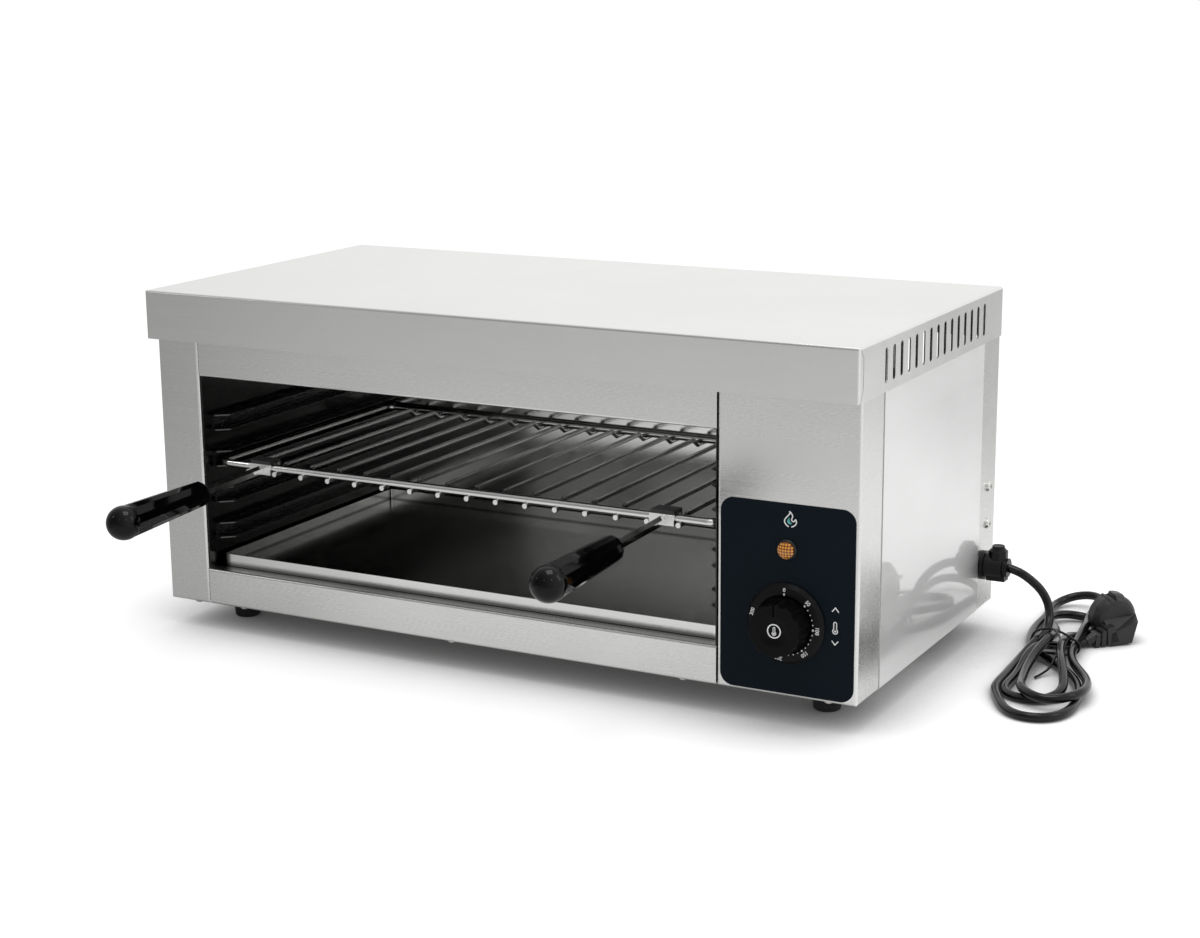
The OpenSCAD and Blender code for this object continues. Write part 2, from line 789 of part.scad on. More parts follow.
// One heating element: a U-bent tube with two flanged and threaded ends.
module heater(y) {
    r = heater_gap / 2;
    bend_x = heater_left + heater_d / 2 + r;
    for (s = [-1, 1]) {
        rod_x([bend_x, y + s * r, heater_h], cav_x1 - bend_x, heater_d);
        rod_x([cav_x1 - heater_flange_t, y + s * r, heater_h], heater_flange_t, heater_flange_d);
        rod_x([cav_x1, y + s * r, heater_h], heater_bush_len, heater_bush);
        rod_x([cav_x1 + heater_bush_len, y + s * r, heater_h], heater_pin_len, heater_pin_d);
    }
    translate([bend_x, y, heater_h])
        rotate([0, 0, 90])
            rotate_extrude(angle = 180) translate([r, 0]) circle(d = heater_d);
}

module front_heater() {
    color([0.30, 0.30, 0.29]) heater(heater_ys[0]);
}

module rear_heater() {
    color([0.30, 0.30, 0.29]) heater(heater_ys[1]);
}

module heater_hanger() {
    color([0.66, 0.66, 0.64])
        difference() {
            union() {
                block([hanger_x, hanger_y0, heater_h - heater_d / 2 - 5.5],
                      [hanger_x + hanger_t, hanger_y1, ceiling_z]);
                block([hanger_x, hanger_y0, ceiling_z - hanger_t],
                      [hanger_x + hanger_flange, hanger_y1, ceiling_z]);
            }
            for (y = leg_ys)
                rod_x([hanger_x - 1, y, heater_h], hanger_t + 2, heater_d + 0.5);
        }
}

module heater_nuts() {
    color([0.75, 0.70, 0.55])
        for (y = leg_ys)
            translate([cav_x1 + sheet, y, heater_h])
                rotate([0, 90, 0]) hex_nut(heater_nut, heater_bush + 0.2, 5);
}

module heater_tabs() {
    color([0.78, 0.78, 0.76])
        for (y = leg_ys)
            translate([cav_x1 + heater_bush_len + heater_pin_len, y - 3, heater_h - 0.4])
                cube([heater_tab_len, 6, 0.8]);
}

// Bulb that senses the cavity's heat, along the right wall under the elements.
module sensor_bulb() {
    color([0.76, 0.60, 0.42]) {
        rod_y([sensor_x, sensor_y0, sensor_z], sensor_len, sensor_d);
        translate([sensor_x, sensor_y0 + sensor_len, sensor_z]) sphere(d = sensor_d);
    }
}

module sensor_clips() {
    color([0.72, 0.72, 0.70])
        for (y = clip_ys)
            difference() {
                union() {
                    rod_y([sensor_x, y, sensor_z], clip_len, sensor_d + 2 * clip_t);
                    block([sensor_x, y, sensor_z + sensor_d / 2],
                          [cav_x1, y + clip_len, sensor_z + sensor_d / 2 + clip_t]);
                    block([cav_x1 - clip_t, y, sensor_z + sensor_d / 2],
                          [cav_x1, y + clip_len, sensor_z + clip_h]);
                }
                rod_y([sensor_x, y - 1, sensor_z], clip_len + 2, sensor_d + 0.2);
            }
}

// Quarter bend of the capillary tube about the origin, from +X to +Y.
module tube_bend() {
    rotate_extrude(angle = 90) translate([tube_r, 0]) circle(d = tube_d);
}

// Capillary tube from the bulb through the wall and down to the thermostat.
module sensor_tube() {
    color([0.76, 0.55, 0.38]) {
        rod_y([sensor_x, sensor_y0 - tube_neck, sensor_z], tube_neck, tube_d);
        translate([sensor_x + tube_r, sensor_y0 - tube_neck, sensor_z])
            rotate([0, 0, 180]) tube_bend();
        rod_x([sensor_x + tube_r, sensor_exit, sensor_z], tube_x - sensor_x - 2 * tube_r, tube_d);
        translate([tube_x - tube_r, sensor_exit - tube_r, sensor_z]) tube_bend();
        rod_y([tube_x, tube_y + tube_r, sensor_z], sensor_exit - tube_y - 2 * tube_r, tube_d);
        translate([tube_x, tube_y + tube_r, sensor_z - tube_r])
            rotate([0, -90, 0]) rotate([0, 0, -90]) tube_bend();
        rod_z([tube_x, tube_y, dial_h + dial_box / 2],
              sensor_z - tube_r - dial_h - dial_box / 2, tube_d);
    }
}

module drip_tray() {
    color([0.60, 0.61, 0.60])
        translate([0, 0, sill_z + run_gap])
            difference() {
                tray_form(0, tray_h, 0);
                tray_form(sheet, tray_h, sheet);
            }
}

module tray_form(low, high, inset) {
    translate([0, 0, low])
        linear_extrude(high - low + inset)
            round_frame(cav_x0 + tray_play + inset, cav_x1 - tray_play - inset,
                        rack_y0 + inset, cav_y1 - 3 - inset, 4 - inset);
}

// ---------- Rack and handles ----------

module wire_rack() {
    color([0.82, 0.83, 0.82]) {
        for (x = [rack_x0, rack_x1])
            rod_y([x, rack_y0 + rack_r, rack_z], rack_y1 - rack_y0 - 2 * rack_r, rod_d);
        for (y = [rack_y0, rack_y1])
            rod_x([rack_x0 + rack_r, y, rack_z], rack_x1 - rack_x0 - 2 * rack_r, rod_d);
        for (c = [[rack_x0 + rack_r, rack_y0 + rack_r, 180], [rack_x1 - rack_r, rack_y0 + rack_r, 270],
                  [rack_x1 - rack_r, rack_y1 - rack_r, 0], [rack_x0 + rack_r, rack_y1 - rack_r, 90]])
            translate([c[0], c[1], rack_z])
                rotate([0, 0, c[2]])
                    rotate_extrude(angle = 90) translate([rack_r, 0]) circle(d = rod_d);
        for (i = [0 : wire_n - 1])
            rack_wire(rack_mid + (i - (wire_n - 1) / 2) * wire_pitch);
    }
}

// One cross wire: its cranked ends pass under the front and the rear rod.
module rack_wire(x) {
    wire([
        [x, rack_y0 - rod_d / 2 - wire_tip, wire_low], [x, rack_y0 + 3, wire_low],
        [x, rack_y0 + 3 + dip, wire_high], [x, rack_y1 - 3 - dip, wire_high],
        [x, rack_y1 - 3, wire_low], [x, rack_y1 + rod_d / 2, wire_low]
    ], wire_d);
}

// Trough of a clamp under the front rod; x is the handle's axis.
module handle_clamp(x) {
    w = clamp_w / 2;
    t = clamp_t;
    difference() {
        block([x - w, clamp_front, clamp_low], [x + w, clamp_back, clamp_high]);
        block([x - w - 1, clamp_front + t, clamp_low + t],
              [x + w + 1, clamp_back - t, clamp_high + 1]);
        for (s = [-1, 1])
            rod_z([x + s * clamp_screw_x, clamp_screw_y, clamp_low - 1], t + 2, screw_hole);
        rod_y([x, clamp_front - 1, handle_z], t + 2, stud_d + 0.3);
    }
}

module left_handle_clamp() {
    color([0.80, 0.80, 0.79]) handle_clamp(rack_mid - handle_x);
}

module right_handle_clamp() {
    color([0.80, 0.80, 0.79]) handle_clamp(rack_mid + handle_x);
}

// Lid of a clamp over the front rod; the screws end in its blind holes.
module clamp_plate(x) {
    w = clamp_w / 2 - 0.5;
    difference() {
        block([x - w, clamp_front + clamp_t / 2, clamp_high],
              [x + w, clamp_back, clamp_high + clamp_lid_t]);
        for (s = [-1, 1])
            rod_z([x + s * clamp_screw_x, clamp_screw_y, clamp_high - 1],
                  clamp_lid_t + 1 - clamp_skin, screw_hole);
    }
}

module left_clamp_plate() {
    color([0.20, 0.20, 0.20]) clamp_plate(rack_mid - handle_x);
}

module right_clamp_plate() {
    color([0.20, 0.20, 0.20]) clamp_plate(rack_mid + handle_x);
}

module clamp_screws() {
    color([0.78, 0.78, 0.77])
        for (h = [-1, 1], s = [-1, 1])
            translate([rack_mid + h * handle_x + s * clamp_screw_x, clamp_screw_y, clamp_low])
                rotate([180, 0, 0])
                    cross_screw(clamp_high + clamp_lid_t - clamp_skin - 0.2 - clamp_low,
                                screw_d, head_d, head_h);
}

// Places a shape on a handle: the origin on the clamp's face, +Y into the clamp.
module on_handle(x) {
    translate([x, clamp_front, handle_z]) rotate([handle_sag, 0, 0]) children();
}

// Hexagonal rod with a round stud through the clamp; two flats face up and down.
module handle_rod(x) {
    len = handle_len - grip_len + grip_in;
    on_handle(x) {
        translate([0, -len, 0])
            rotate([-90, 30, 0]) cylinder(h = len - 0.15, d = hex_af / cos(30), $fn = 6);
        rod_y([0, -1, 0], clamp_t + 0.9, stud_d);
    }
}

module left_handle_rod() {
    color([0.84, 0.84, 0.83]) handle_rod(rack_mid - handle_x);
}

module right_handle_rod() {
    color([0.84, 0.84, 0.83]) handle_rod(rack_mid + handle_x);
}

// Grip: a ball end and a many-sided taper with a chamfered inner end.
module grip(x) {
    r = grip_d / 2;
    n = grip_neck_d / 2;
    on_handle(x)
        translate([0, -handle_len, 0])
            difference() {
                rotate([-90, 0, 0]) {
                    translate([0, 0, r]) {
                        sphere(r);
                        cylinder(h = grip_len - r - 1, r1 = r - 0.3, r2 = n, $fn = grip_sides);
                    }
                    translate([0, 0, grip_len - 1])
                        cylinder(h = 1, r1 = n, r2 = n - 1, $fn = grip_sides);
                }
                translate([0, grip_len - grip_in, 0])
                    rotate([-90, 30, 0])
                        cylinder(h = grip_in + 1, d = (hex_af + 0.1) / cos(30), $fn = 6);
            }
}

module left_grip() {
    color([0.05, 0.05, 0.05]) grip(rack_mid - handle_x);
}

module right_grip() {
    color([0.05, 0.05, 0.05]) grip(rack_mid + handle_x);
}

// ---------- Controls ----------

module control_label() {
    color([0.13, 0.14, 0.15])
        difference() {
            translate([control_x, front_y, leg_h + label_rise + label_h / 2])
                rotate([90, 0, 0])
                    linear_extrude(label_t)
                        round_frame(-label_w / 2, label_w / 2, -label_h / 2, label_h / 2, label_r);
            control_holes();
        }
}

module scale_ring() {
    color([0.10, 0.10, 0.11])
        translate([control_x, label_y, dial_h])
            rotate([90, 0, 0])
                rotate_extrude()
                    polygon([
                        [knob_d / 2 + 1, 0], [ring_d / 2, 0], [ring_d / 2, 1.5],
                        [ring_d / 2 - 2.5, 4], [knob_d / 2 + 2.5, 4.5], [knob_d / 2 + 1, 3.5]
                    ]);
}

// Knob that turns with the shaft: hollow behind, fluted grip, dished front and pointer groove.
module thermostat_knob() {
    color([0.06, 0.06, 0.06])
        translate([control_x, knob_y, dial_h])
            rotate([90, 0, 0])
                difference() {
                    rotate_extrude() {
                        square([knob_d / 2, knob_h - knob_gap - knob_edge]);
                        square([knob_d / 2 - knob_edge, knob_h - knob_gap]);
                        intersection() {
                            translate([knob_d / 2 - knob_edge, knob_h - knob_gap - knob_edge])
                                circle(knob_edge);
                            square([knob_d, knob_h]);
                        }
                    }
                    // Hollow for the bushing and the two screws behind the knob.
                    translate([0, 0, -1]) cylinder(h = 5, r = skirt_in);
                    difference() {
                        translate([0, 0, -1]) cylinder(h = knob_h - 4, d = shaft_d + 0.04);
                        translate([-shaft_d, shaft_d / 2 - 1, -2]) cube([2 * shaft_d, 4, knob_h]);
                    }
                    // Concave flutes round the grip.
                    for (a = [18 : 36 : 359])
                        rotate([0, 0, 90 + a])
                            translate([knob_d / 2 + 4.8, 0, 4.5]) cylinder(h = knob_h, r = 6);
                    // Dished front.
                    translate([0, 0, knob_h - knob_gap + 33.2]) sphere(r = 35);
                    // Pointer groove at the top.
                    translate([-0.8, knob_d / 2 - 9, knob_h - knob_gap - 1.5]) cube([1.6, 12, 4]);
                    translate([-0.8, knob_d / 2 - 1.5, 5]) cube([1.6, 4, knob_h]);
                }
}

module thermostat_shaft() {
    color([0.80, 0.74, 0.55])
        difference() {
            rod_y([control_x, label_y - knob_h + 5, dial_h], knob_h + 13, shaft_d);
            // Flat that carries the knob round.
            block([control_x - shaft_d, label_y - knob_h, dial_h + shaft_d / 2 - 1 - 0.02],
                  [control_x + shaft_d, label_y - 4, dial_h + shaft_d]);
        }
}

module thermostat_body() {
    color([0.82, 0.80, 0.74])
        difference() {
            union() {
                rod_y([control_x, label_y - 2.5, dial_h], label_t + 8, bush_d);
                block([control_x - dial_box / 2, front_y + sheet, dial_h - dial_plate_h / 2],
                      [control_x + dial_box / 2, front_y + sheet + dial_plate_t,
                       dial_h + dial_plate_h / 2]);
                block([control_x - dial_box / 2, front_y + sheet + 1, dial_h - dial_box / 2],
                      [control_x + dial_box / 2, front_y + dial_box_in, dial_h + dial_box / 2]);
            }
            rod_y([control_x, label_y - 5, dial_h], 26, shaft_d + 2 * shaft_fit);
            for (s = [-1, 1])
                rod_y([control_x + s * plate_screw_x, front_y, dial_h], 9, screw_hole);
        }
}

module lamp_lens() {
    color([0.95, 0.55, 0.20])
        translate([control_x, label_y - 1.5, lamp_h])
            rotate([90, 0, 0])
                rotate_extrude() {
                    square([lamp_d / 2 - 1.5, 1.5]);
                    intersection() {
                        translate([0, -6]) circle(9.8);
                        translate([0, 1.4]) square([lamp_d / 2 - 1.5, 6]);
                    }
                }
}

module lamp_body() {
    color([0.12, 0.12, 0.12])
        translate([control_x, label_y, lamp_h])
            rotate([90, 0, 0])
                difference() {
                    union() {
                        rotate_extrude()
                            polygon([[0, 0], [lamp_d / 2, 0], [lamp_d / 2, 1], [lamp_d / 2 - 0.7, 2],
                                     [0, 2]]);
                        translate([0, 0, -26]) cylinder(h = 27, d = lamp_d - 3.2);
                        for (s = [-1, 1])
                            translate([s * 3 - 0.4, -2.5, -33]) cube([0.8, 5, 8]);
                    }
                    translate([0, 0, 1.5]) cylinder(h = 2, r = lamp_d / 2 - 1.4);
                }
}

module lamp_nut() {
    color([0.15, 0.15, 0.15])
        translate([control_x, front_y + sheet, lamp_h])
            rotate([-90, 0, 0]) hex_nut(lamp_d + 2, lamp_d - 3, 4);
}

// ---------- Terminal block, gland and screws ----------

module terminal_bracket() {
    color([0.72, 0.73, 0.72])
        difference() {
            union() {
                block([bracket_x, side_screw_y - 8, shelf_z],
                      [joggle_x, side_screw_y + 8, side_screw_z[1] + 8]);
                block([bracket_x - 26, side_screw_y - 22, shelf_z],
                      [joggle_x, side_screw_y + 8, shelf_z + bracket_t]);
            }
            gland_holes();
        }
}

module terminal_block() {
    color([0.88, 0.87, 0.82])
        difference() {
            union() {
                block([bracket_x - 24, side_screw_y - 21, shelf_z + bracket_t],
                      [bracket_x - 6, side_screw_y + 5, shelf_z + 10]);
                for (y = pole_ys)
                    block([bracket_x - 22, y - 3, shelf_z + 9], [bracket_x - 8, y + 3, shelf_z + 16]);
            }
            for (y = pole_ys) {
                rod_x([bracket_x - 30, y, lead_z], 30, pole_d);
                for (x = [bracket_x - 19, bracket_x - 11])
                    rod_z([x, y, lead_z + 2], 10, pole_d);
            }
        }
}

module side_screws() {
    color([0.76, 0.76, 0.75])
        for (z = side_screw_z)
            translate([wrap_x, side_screw_y, z])
                rotate([0, 90, 0]) cross_screw(screw_len, screw_d, side_head_d, side_head_h);
}

// The same screw holds the base plate, the back panel and the thermostat.
module panel_screw() {
    cross_screw(screw_len, screw_d, head_d, head_h);
}

module panel_screws() {
    color([0.76, 0.76, 0.75]) {
        for (x = base_screw_x)
            translate([x, base_screw_y, leg_h]) rotate([180, 0, 0]) panel_screw();
        for (s = [-1, 1], z = back_screw_z)
            translate([s * back_screw_x, back_y, z]) rotate([-90, 0, 0]) panel_screw();
        for (s = [-1, 1])
            translate([control_x + s * plate_screw_x, label_y, dial_h])
                rotate([90, 0, 0]) panel_screw();
    }
}

// Sheath through the gland and its three cores up to the terminal block.
module inner_leads() {
    color([0.06, 0.06, 0.06]) {
        rod_x([sheath_x, gland_y, gland_h], gland_end - sheath_x, cord_d);
        for (i = [0 : 2])
            wire([
                [sheath_x + 2, gland_y + (i - 1) * core_d, gland_h],
                [bracket_x - 29, pole_ys[i], gland_h + 12], [bracket_x - 29, pole_ys[i], lead_z],
                [bracket_x - 18, pole_ys[i], lead_z]
            ], core_d);
    }
}

module gland_body() {
    color([0.07, 0.07, 0.07])
        difference() {
            union() {
                rod_x([wrap_x - 12, gland_y, gland_h], 13, gland_thread_d);
                rod_x([wrap_x, gland_y, gland_h], gland_flange_t, gland_flange_d);
                rod_x([wrap_x, gland_y, gland_h], gland_flange_t + 15, 19);
                rod_x([wrap_x, gland_y, gland_h], gland_flange_t + gland_len, 15);
                // Eight-sided tower that carries the clamping screw, and a foot under the barrel.
                translate([wrap_x + 13, gland_y, gland_h])
                    rotate([0, 0, 22.5]) cylinder(h = gland_tower, d = 15.5, $fn = 8);
                block([wrap_x + 5, gland_y - 5, gland_h - 11],
                      [wrap_x + 20, gland_y + 5, gland_h]);
            }
            rod_x([wrap_x - 14, gland_y, gland_h], 50, cord_d + 0.1);
        }
}

module gland_nut() {
    color([0.12, 0.12, 0.12])
        translate([joggle_x - gland_nut_t, gland_y, gland_h])
            rotate([0, 90, 0]) hex_nut(20, gland_thread_d + 0.1, gland_nut_t);
}

module gland_screw() {
    color([0.10, 0.10, 0.10])
        translate([wrap_x + 13, gland_y, gland_h + gland_tower])
            difference() {
                union() {
                    cylinder(h = 1.4, d1 = 13.4, d2 = 12);
                    cylinder(h = 4, d1 = 11, d2 = 9.6);
                }
                translate([-7, -0.8, 2.4]) cube([14, 1.6, 3]);
            }
}

// ---------- Cord and plug ----------

module cord_lead() {
    color([0.05, 0.05, 0.05])
        swept_tube(lead_route, cord_r, cord_sides, [1, 0, 0], unit([0, -0.45, -0.9]));
}

module cord_hank() {
    color([0.05, 0.05, 0.05])
        linear_extrude(hank_h) {
            for (c = hank_chain)
                translate([c[0], c[1]]) circle(c[2]);
            for (i = [0 : len(hank_chain) - 2])
                polygon(belt(hank_chain[i], hank_chain[i + 1]));
        }
}

module cord_tail() {
    color([0.05, 0.05, 0.05])
        swept_tube(tail_route, cord_r, cord_sides, unit([0.25, 1, 0]), -plug_way);
}

// Wire tie over the hank's waist.
module cord_tie() {
    color([0.04, 0.04, 0.04])
        difference() {
            block([348, tie_y, 0], [387.5, tie_y + tie_w, hank_h + 1.2]);
            cord_hank();
        }
}

// Places a shape on the plug: +Z along the pins, +X along the cord.
module on_plug() {
    translate(plug_at)
        rotate([0, 0, plug_turn]) rotate([90, 0, 0]) rotate([0, 0, -plug_tilt])
            children();
}

module plug_body() {
    color([0.06, 0.06, 0.06])
        on_plug() {
            difference() {
                rotate_extrude() {
                    translate([0, -plug_t + 2]) square([plug_d / 2, plug_t - 3.5]);
                    translate([0, -1.6]) square([plug_d / 2 - 1.5, 1.6]);
                    translate([0, -plug_t]) square([plug_d / 2 - 2, 3]);
                }
                for (s = [-1, 1])
                    translate([-3, s * 17 - 2, -12]) cube([6, 4, 13]);
            }
            // Hump behind the disc and ribbed relief round the cord.
            translate([0, 0, -plug_t - hump_t + 3]) cylinder(h = hump_t, r = 12.5);
            translate([0, -6.5, -plug_t - hump_t + 3]) cube([16, 13, hump_t]);
            difference() {
                translate([12, 0, plug_cord_z])
                    rotate([0, 90, 0])
                        cylinder(h = relief_len - 12, d1 = 13, d2 = cord_d + 1.4);
                for (x = [18 : 4 : relief_len - 3])
                    translate([x, 0, plug_cord_z])
                        rotate([0, 90, 0])
                            difference() {
                                cylinder(h = 1.4, d = 16);
                                translate([0, 0, -1]) cylinder(h = 4, d = cord_d + 0.4);
                            }
            }
        }
}

module plug_pins() {
    color([0.85, 0.85, 0.84])
        on_plug()
            for (s = [-1, 1])
                translate([s * pin_gap / 2, 0, 0]) {
                    cylinder(h = pin_len - pin_d / 2, d = pin_d);
                    translate([0, 0, pin_len - pin_d / 2]) sphere(d = pin_d);
                }
}

// ---------- Feet ----------

module rubber_feet() {
    color([0.05, 0.05, 0.05])
        for (s = [-1, 1], y = foot_y)
            translate([s * foot_x, y, 0])
                difference() {
                    rotate_extrude() {
                        polygon([[0, 0], [foot_d / 2 - 4.3, 0], [foot_d / 2 - 2.2, 2.1],
                                 [foot_d / 2, foot_h], [0, foot_h]]);
                        intersection() {
                            translate([foot_d / 2 - 4.3, 2.2]) circle(2.2);
                            square(foot_d);
                        }
                    }
                    translate([0, 0, -1]) cylinder(h = foot_sink + 1, d = 10);
                    cylinder(h = foot_h + 1, d = foot_screw_d + 0.4);
                }
}

module foot_screws() {
    color([0.76, 0.76, 0.75])
        for (s = [-1, 1], y = foot_y)
            translate([s * foot_x, y, foot_sink])
                rotate([180, 0, 0])
                    cross_screw(foot_h - foot_sink + 8, foot_screw_d, 9, 3);
}

module foot_nuts() {
    color([0.76, 0.76, 0.75])
        for (s = [-1, 1], y = foot_y)
            translate([s * foot_x, y, base_z]) hex_nut(8, foot_screw_d + 0.2, 4);
}

top_cover();
left_side_panel();
right_side_panel();
left_front_post();
control_panel();
upper_front_panel();
lower_front_panel();
back_panel();
base_plate();
left_cavity_wall();
right_cavity_wall();
cavity_back_wall();
cavity_floor();
left_rack_channels();
right_rack_channels();
heat_reflector();
front_heater();
rear_heater();
heater_hanger();
heater_nuts();
heater_tabs();
sensor_bulb();
sensor_clips();
sensor_tube();
drip_tray();
wire_rack();
left_handle_clamp();
right_handle_clamp();
left_clamp_plate();
right_clamp_plate();
clamp_screws();
left_handle_rod();
right_handle_rod();
left_grip();
right_grip();
control_label();
scale_ring();
thermostat_knob();
thermostat_shaft();
thermostat_body();
lamp_lens();
lamp_body();
lamp_nut();
terminal_block();
terminal_bracket();
side_screws();
panel_screws();
inner_leads();
gland_body();
gland_nut();
gland_screw();
cord_lead();
cord_hank();
cord_tail();
cord_tie();
plug_body();
plug_pins();
rubber_feet();
foot_screws();
foot_nuts();
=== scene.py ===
"""Dresses the counter-top cheese melter: its finishes, dial printing, mains cord and studio."""
import math

import bmesh
import bpy
from mathutils import Matrix, Vector


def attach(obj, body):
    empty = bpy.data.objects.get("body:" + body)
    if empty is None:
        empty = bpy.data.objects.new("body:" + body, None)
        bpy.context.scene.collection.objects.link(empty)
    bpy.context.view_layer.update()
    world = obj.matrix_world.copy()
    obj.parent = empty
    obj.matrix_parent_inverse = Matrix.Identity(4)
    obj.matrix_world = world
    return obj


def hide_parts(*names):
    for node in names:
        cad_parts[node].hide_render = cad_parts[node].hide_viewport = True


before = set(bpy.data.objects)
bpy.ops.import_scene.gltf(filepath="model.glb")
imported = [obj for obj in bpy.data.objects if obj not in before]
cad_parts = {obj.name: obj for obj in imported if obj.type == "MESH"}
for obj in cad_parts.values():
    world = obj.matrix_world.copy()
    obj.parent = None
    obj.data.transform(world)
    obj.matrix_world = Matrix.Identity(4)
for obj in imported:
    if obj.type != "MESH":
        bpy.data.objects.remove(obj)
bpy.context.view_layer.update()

MM = 0.001

# ---------- Camera ----------

IMAGE_WIDTH = 1200
FOCAL_PIXELS = 2205.5
SENSOR_MM = 36


def set_camera(place, azimuth, elevation, roll):
    """Camera at a place in metres, turned from the front to the right, looking down, in degrees."""
    data = bpy.data.cameras.new("studio_camera")
    data.sensor_width = SENSOR_MM
    data.lens = FOCAL_PIXELS / IMAGE_WIDTH * SENSOR_MM
    data.clip_start = 0.05
    data.clip_end = 50
    camera = bpy.data.objects.new("studio_camera", data)
    turn = Matrix.Rotation(math.radians(azimuth), 4, "Z")
    tilt = Matrix.Rotation(math.radians(90 - elevation), 4, "X")
    lean = Matrix.Rotation(math.radians(roll), 4, "Z")
    camera.matrix_world = Matrix.Translation(place) @ turn @ tilt @ lean
    bpy.context.scene.collection.objects.link(camera)
    bpy.context.scene.camera = camera


set_camera((0.8413, -1.4408, 0.5436), azimuth=28.26, elevation=13.32, roll=-0.51)

# ---------- Node trees ----------

# Places of the Mix node's sockets, which share their names.
MIX_NUMBERS, MIX_NUMBER_OUT = (2, 3), 0
MIX_COLOURS, MIX_COLOUR_OUT = (6, 7), 2
# Noise stays near its middle: most of it lies between these values.
NOISE_LOW, NOISE_HIGH = 0.3, 0.7


class Wiring:
    """Adds nodes to a tree; an input given as a socket is linked, any other is set."""

    def __init__(self, tree):
        self.tree = tree

    def add(self, kind, inputs=None, **settings):
        made = self.tree.nodes.new(kind)
        for key, value in settings.items():
            setattr(made, key, value)
        for key, value in (inputs or {}).items():
            if isinstance(value, bpy.types.NodeSocket):
                self.tree.links.new(value, made.inputs[key])
            else:
                made.inputs[key].default_value = value
        return made

    def math(self, operation, a, b):
        return self.add("ShaderNodeMath", {0: a, 1: b}, operation=operation).outputs[0]

    def spread(self, value, low=0.0, high=1.0, start=0.0, end=1.0):
        """Value from start..end brought to low..high, and kept between them."""
        made = self.add("ShaderNodeMapRange", {"Value": value, "From Min": start, "From Max": end,
                                               "To Min": low, "To Max": high})
        return made.outputs["Result"]

    def reach(self, value, way):
        """How far a place or direction lies along a way."""
        return self.add("ShaderNodeVectorMath", {0: value, 1: way},
                        operation="DOT_PRODUCT").outputs["Value"]

    def choose(self, factor, first, second):
        """First number where the factor is 0, second where it is 1."""
        made = self.add("ShaderNodeMix", {"Factor": factor, MIX_NUMBERS[0]: first,
                                          MIX_NUMBERS[1]: second}, data_type="FLOAT")
        return made.outputs[MIX_NUMBER_OUT]

    def blend(self, factor, first, second):
        """First colour where the factor is 0, second where it is 1."""
        made = self.add("ShaderNodeMix", {"Factor": factor, MIX_COLOURS[0]: rgba(first),
                                          MIX_COLOURS[1]: rgba(second)}, data_type="RGBA")
        return made.outputs[MIX_COLOUR_OUT]


def rgba(colour):
    """A plain colour with full cover; a socket is passed on as it is."""
    return colour if isinstance(colour, bpy.types.NodeSocket) else (*colour, 1.0)


def new_group(name, inputs, outputs):
    """Shader node group; inputs are name, kind and default, outputs name and kind."""
    group = bpy.data.node_groups.new(name, "ShaderNodeTree")
    for label, kind, default in inputs:
        socket = group.interface.new_socket(label, in_out="INPUT", socket_type="NodeSocket" + kind)
        if default is not None:
            socket.default_value = default
    for label, kind in outputs:
        group.interface.new_socket(label, in_out="OUTPUT", socket_type="NodeSocket" + kind)
    wiring = Wiring(group)
    start = wiring.add("NodeGroupInput").outputs
    end = wiring.add("NodeGroupOutput").inputs
    return group, wiring, start, end


# How much coarser than the fine lines the slow streaks are, along and across.
STREAK_SHRINK = (0.25, 0.05, 0.05)
# Share of the pits in a moulded skin's height; its waves count in full.
PIT_SHARE = 0.6


def rolled_grain_group():
    """Fine lines that rolling and brushing leave along a sheet, with slow streaks over them."""
    group, w, start, end = new_group(
        "Rolled grain",
        [("Vector", "Vector", None), ("Line Scale", "Vector", (6.0, 900.0, 900.0)),
         ("Streak Share", "Float", 0.35)],
        [("Grain", "Float")])
    stretched = w.add("ShaderNodeVectorMath", {0: start["Vector"], 1: start["Line Scale"]},
                      operation="MULTIPLY").outputs[0]
    fine = w.add("ShaderNodeTexNoise", {"Vector": stretched, "Scale": 1.0, "Detail": 3.0,
                                        "Roughness": 0.65}).outputs["Fac"]
    slow = w.add("ShaderNodeVectorMath", {0: stretched, 1: STREAK_SHRINK},
                 operation="MULTIPLY").outputs[0]
    streaks = w.add("ShaderNodeTexNoise", {"Vector": slow, "Scale": 1.0,
                                           "Detail": 2.0}).outputs["Fac"]
    difference = w.math("SUBTRACT", streaks, fine)
    share = w.math("MULTIPLY", difference, start["Streak Share"])
    w.tree.links.new(w.math("ADD", fine, share), end["Grain"])
    return group


def hand_marks_group():
    """Cloudy wipe marks and finger smears on bare metal and gloss plastic."""
    group, w, start, end = new_group(
        "Hand marks",
        [("Vector", "Vector", None), ("Size", "Float", 0.08), ("Seed", "Float", 0.0)],
        [("Marks", "Float"), ("Clouds", "Float")])
    scale = w.math("DIVIDE", 1.0, start["Size"])
    cloud = w.add("ShaderNodeTexNoise", {"Vector": start["Vector"], "Scale": scale, "Detail": 3.0,
                                         "Roughness": 0.55, "Distortion": 0.6,
                                         "W": start["Seed"]}, noise_dimensions="4D")
    smear = w.add("ShaderNodeTexNoise", {"Vector": start["Vector"],
                                         "Scale": w.math("MULTIPLY", scale, 4.0), "Detail": 5.0,
                                         "Roughness": 0.7, "Distortion": 1.5,
                                         "W": start["Seed"]}, noise_dimensions="4D")
    both = w.math("MULTIPLY", cloud.outputs["Fac"], smear.outputs["Fac"])
    marks = w.spread(both, start=0.24, end=0.42)
    w.tree.links.new(marks, end["Marks"])
    w.tree.links.new(cloud.outputs["Fac"], end["Clouds"])
    return group


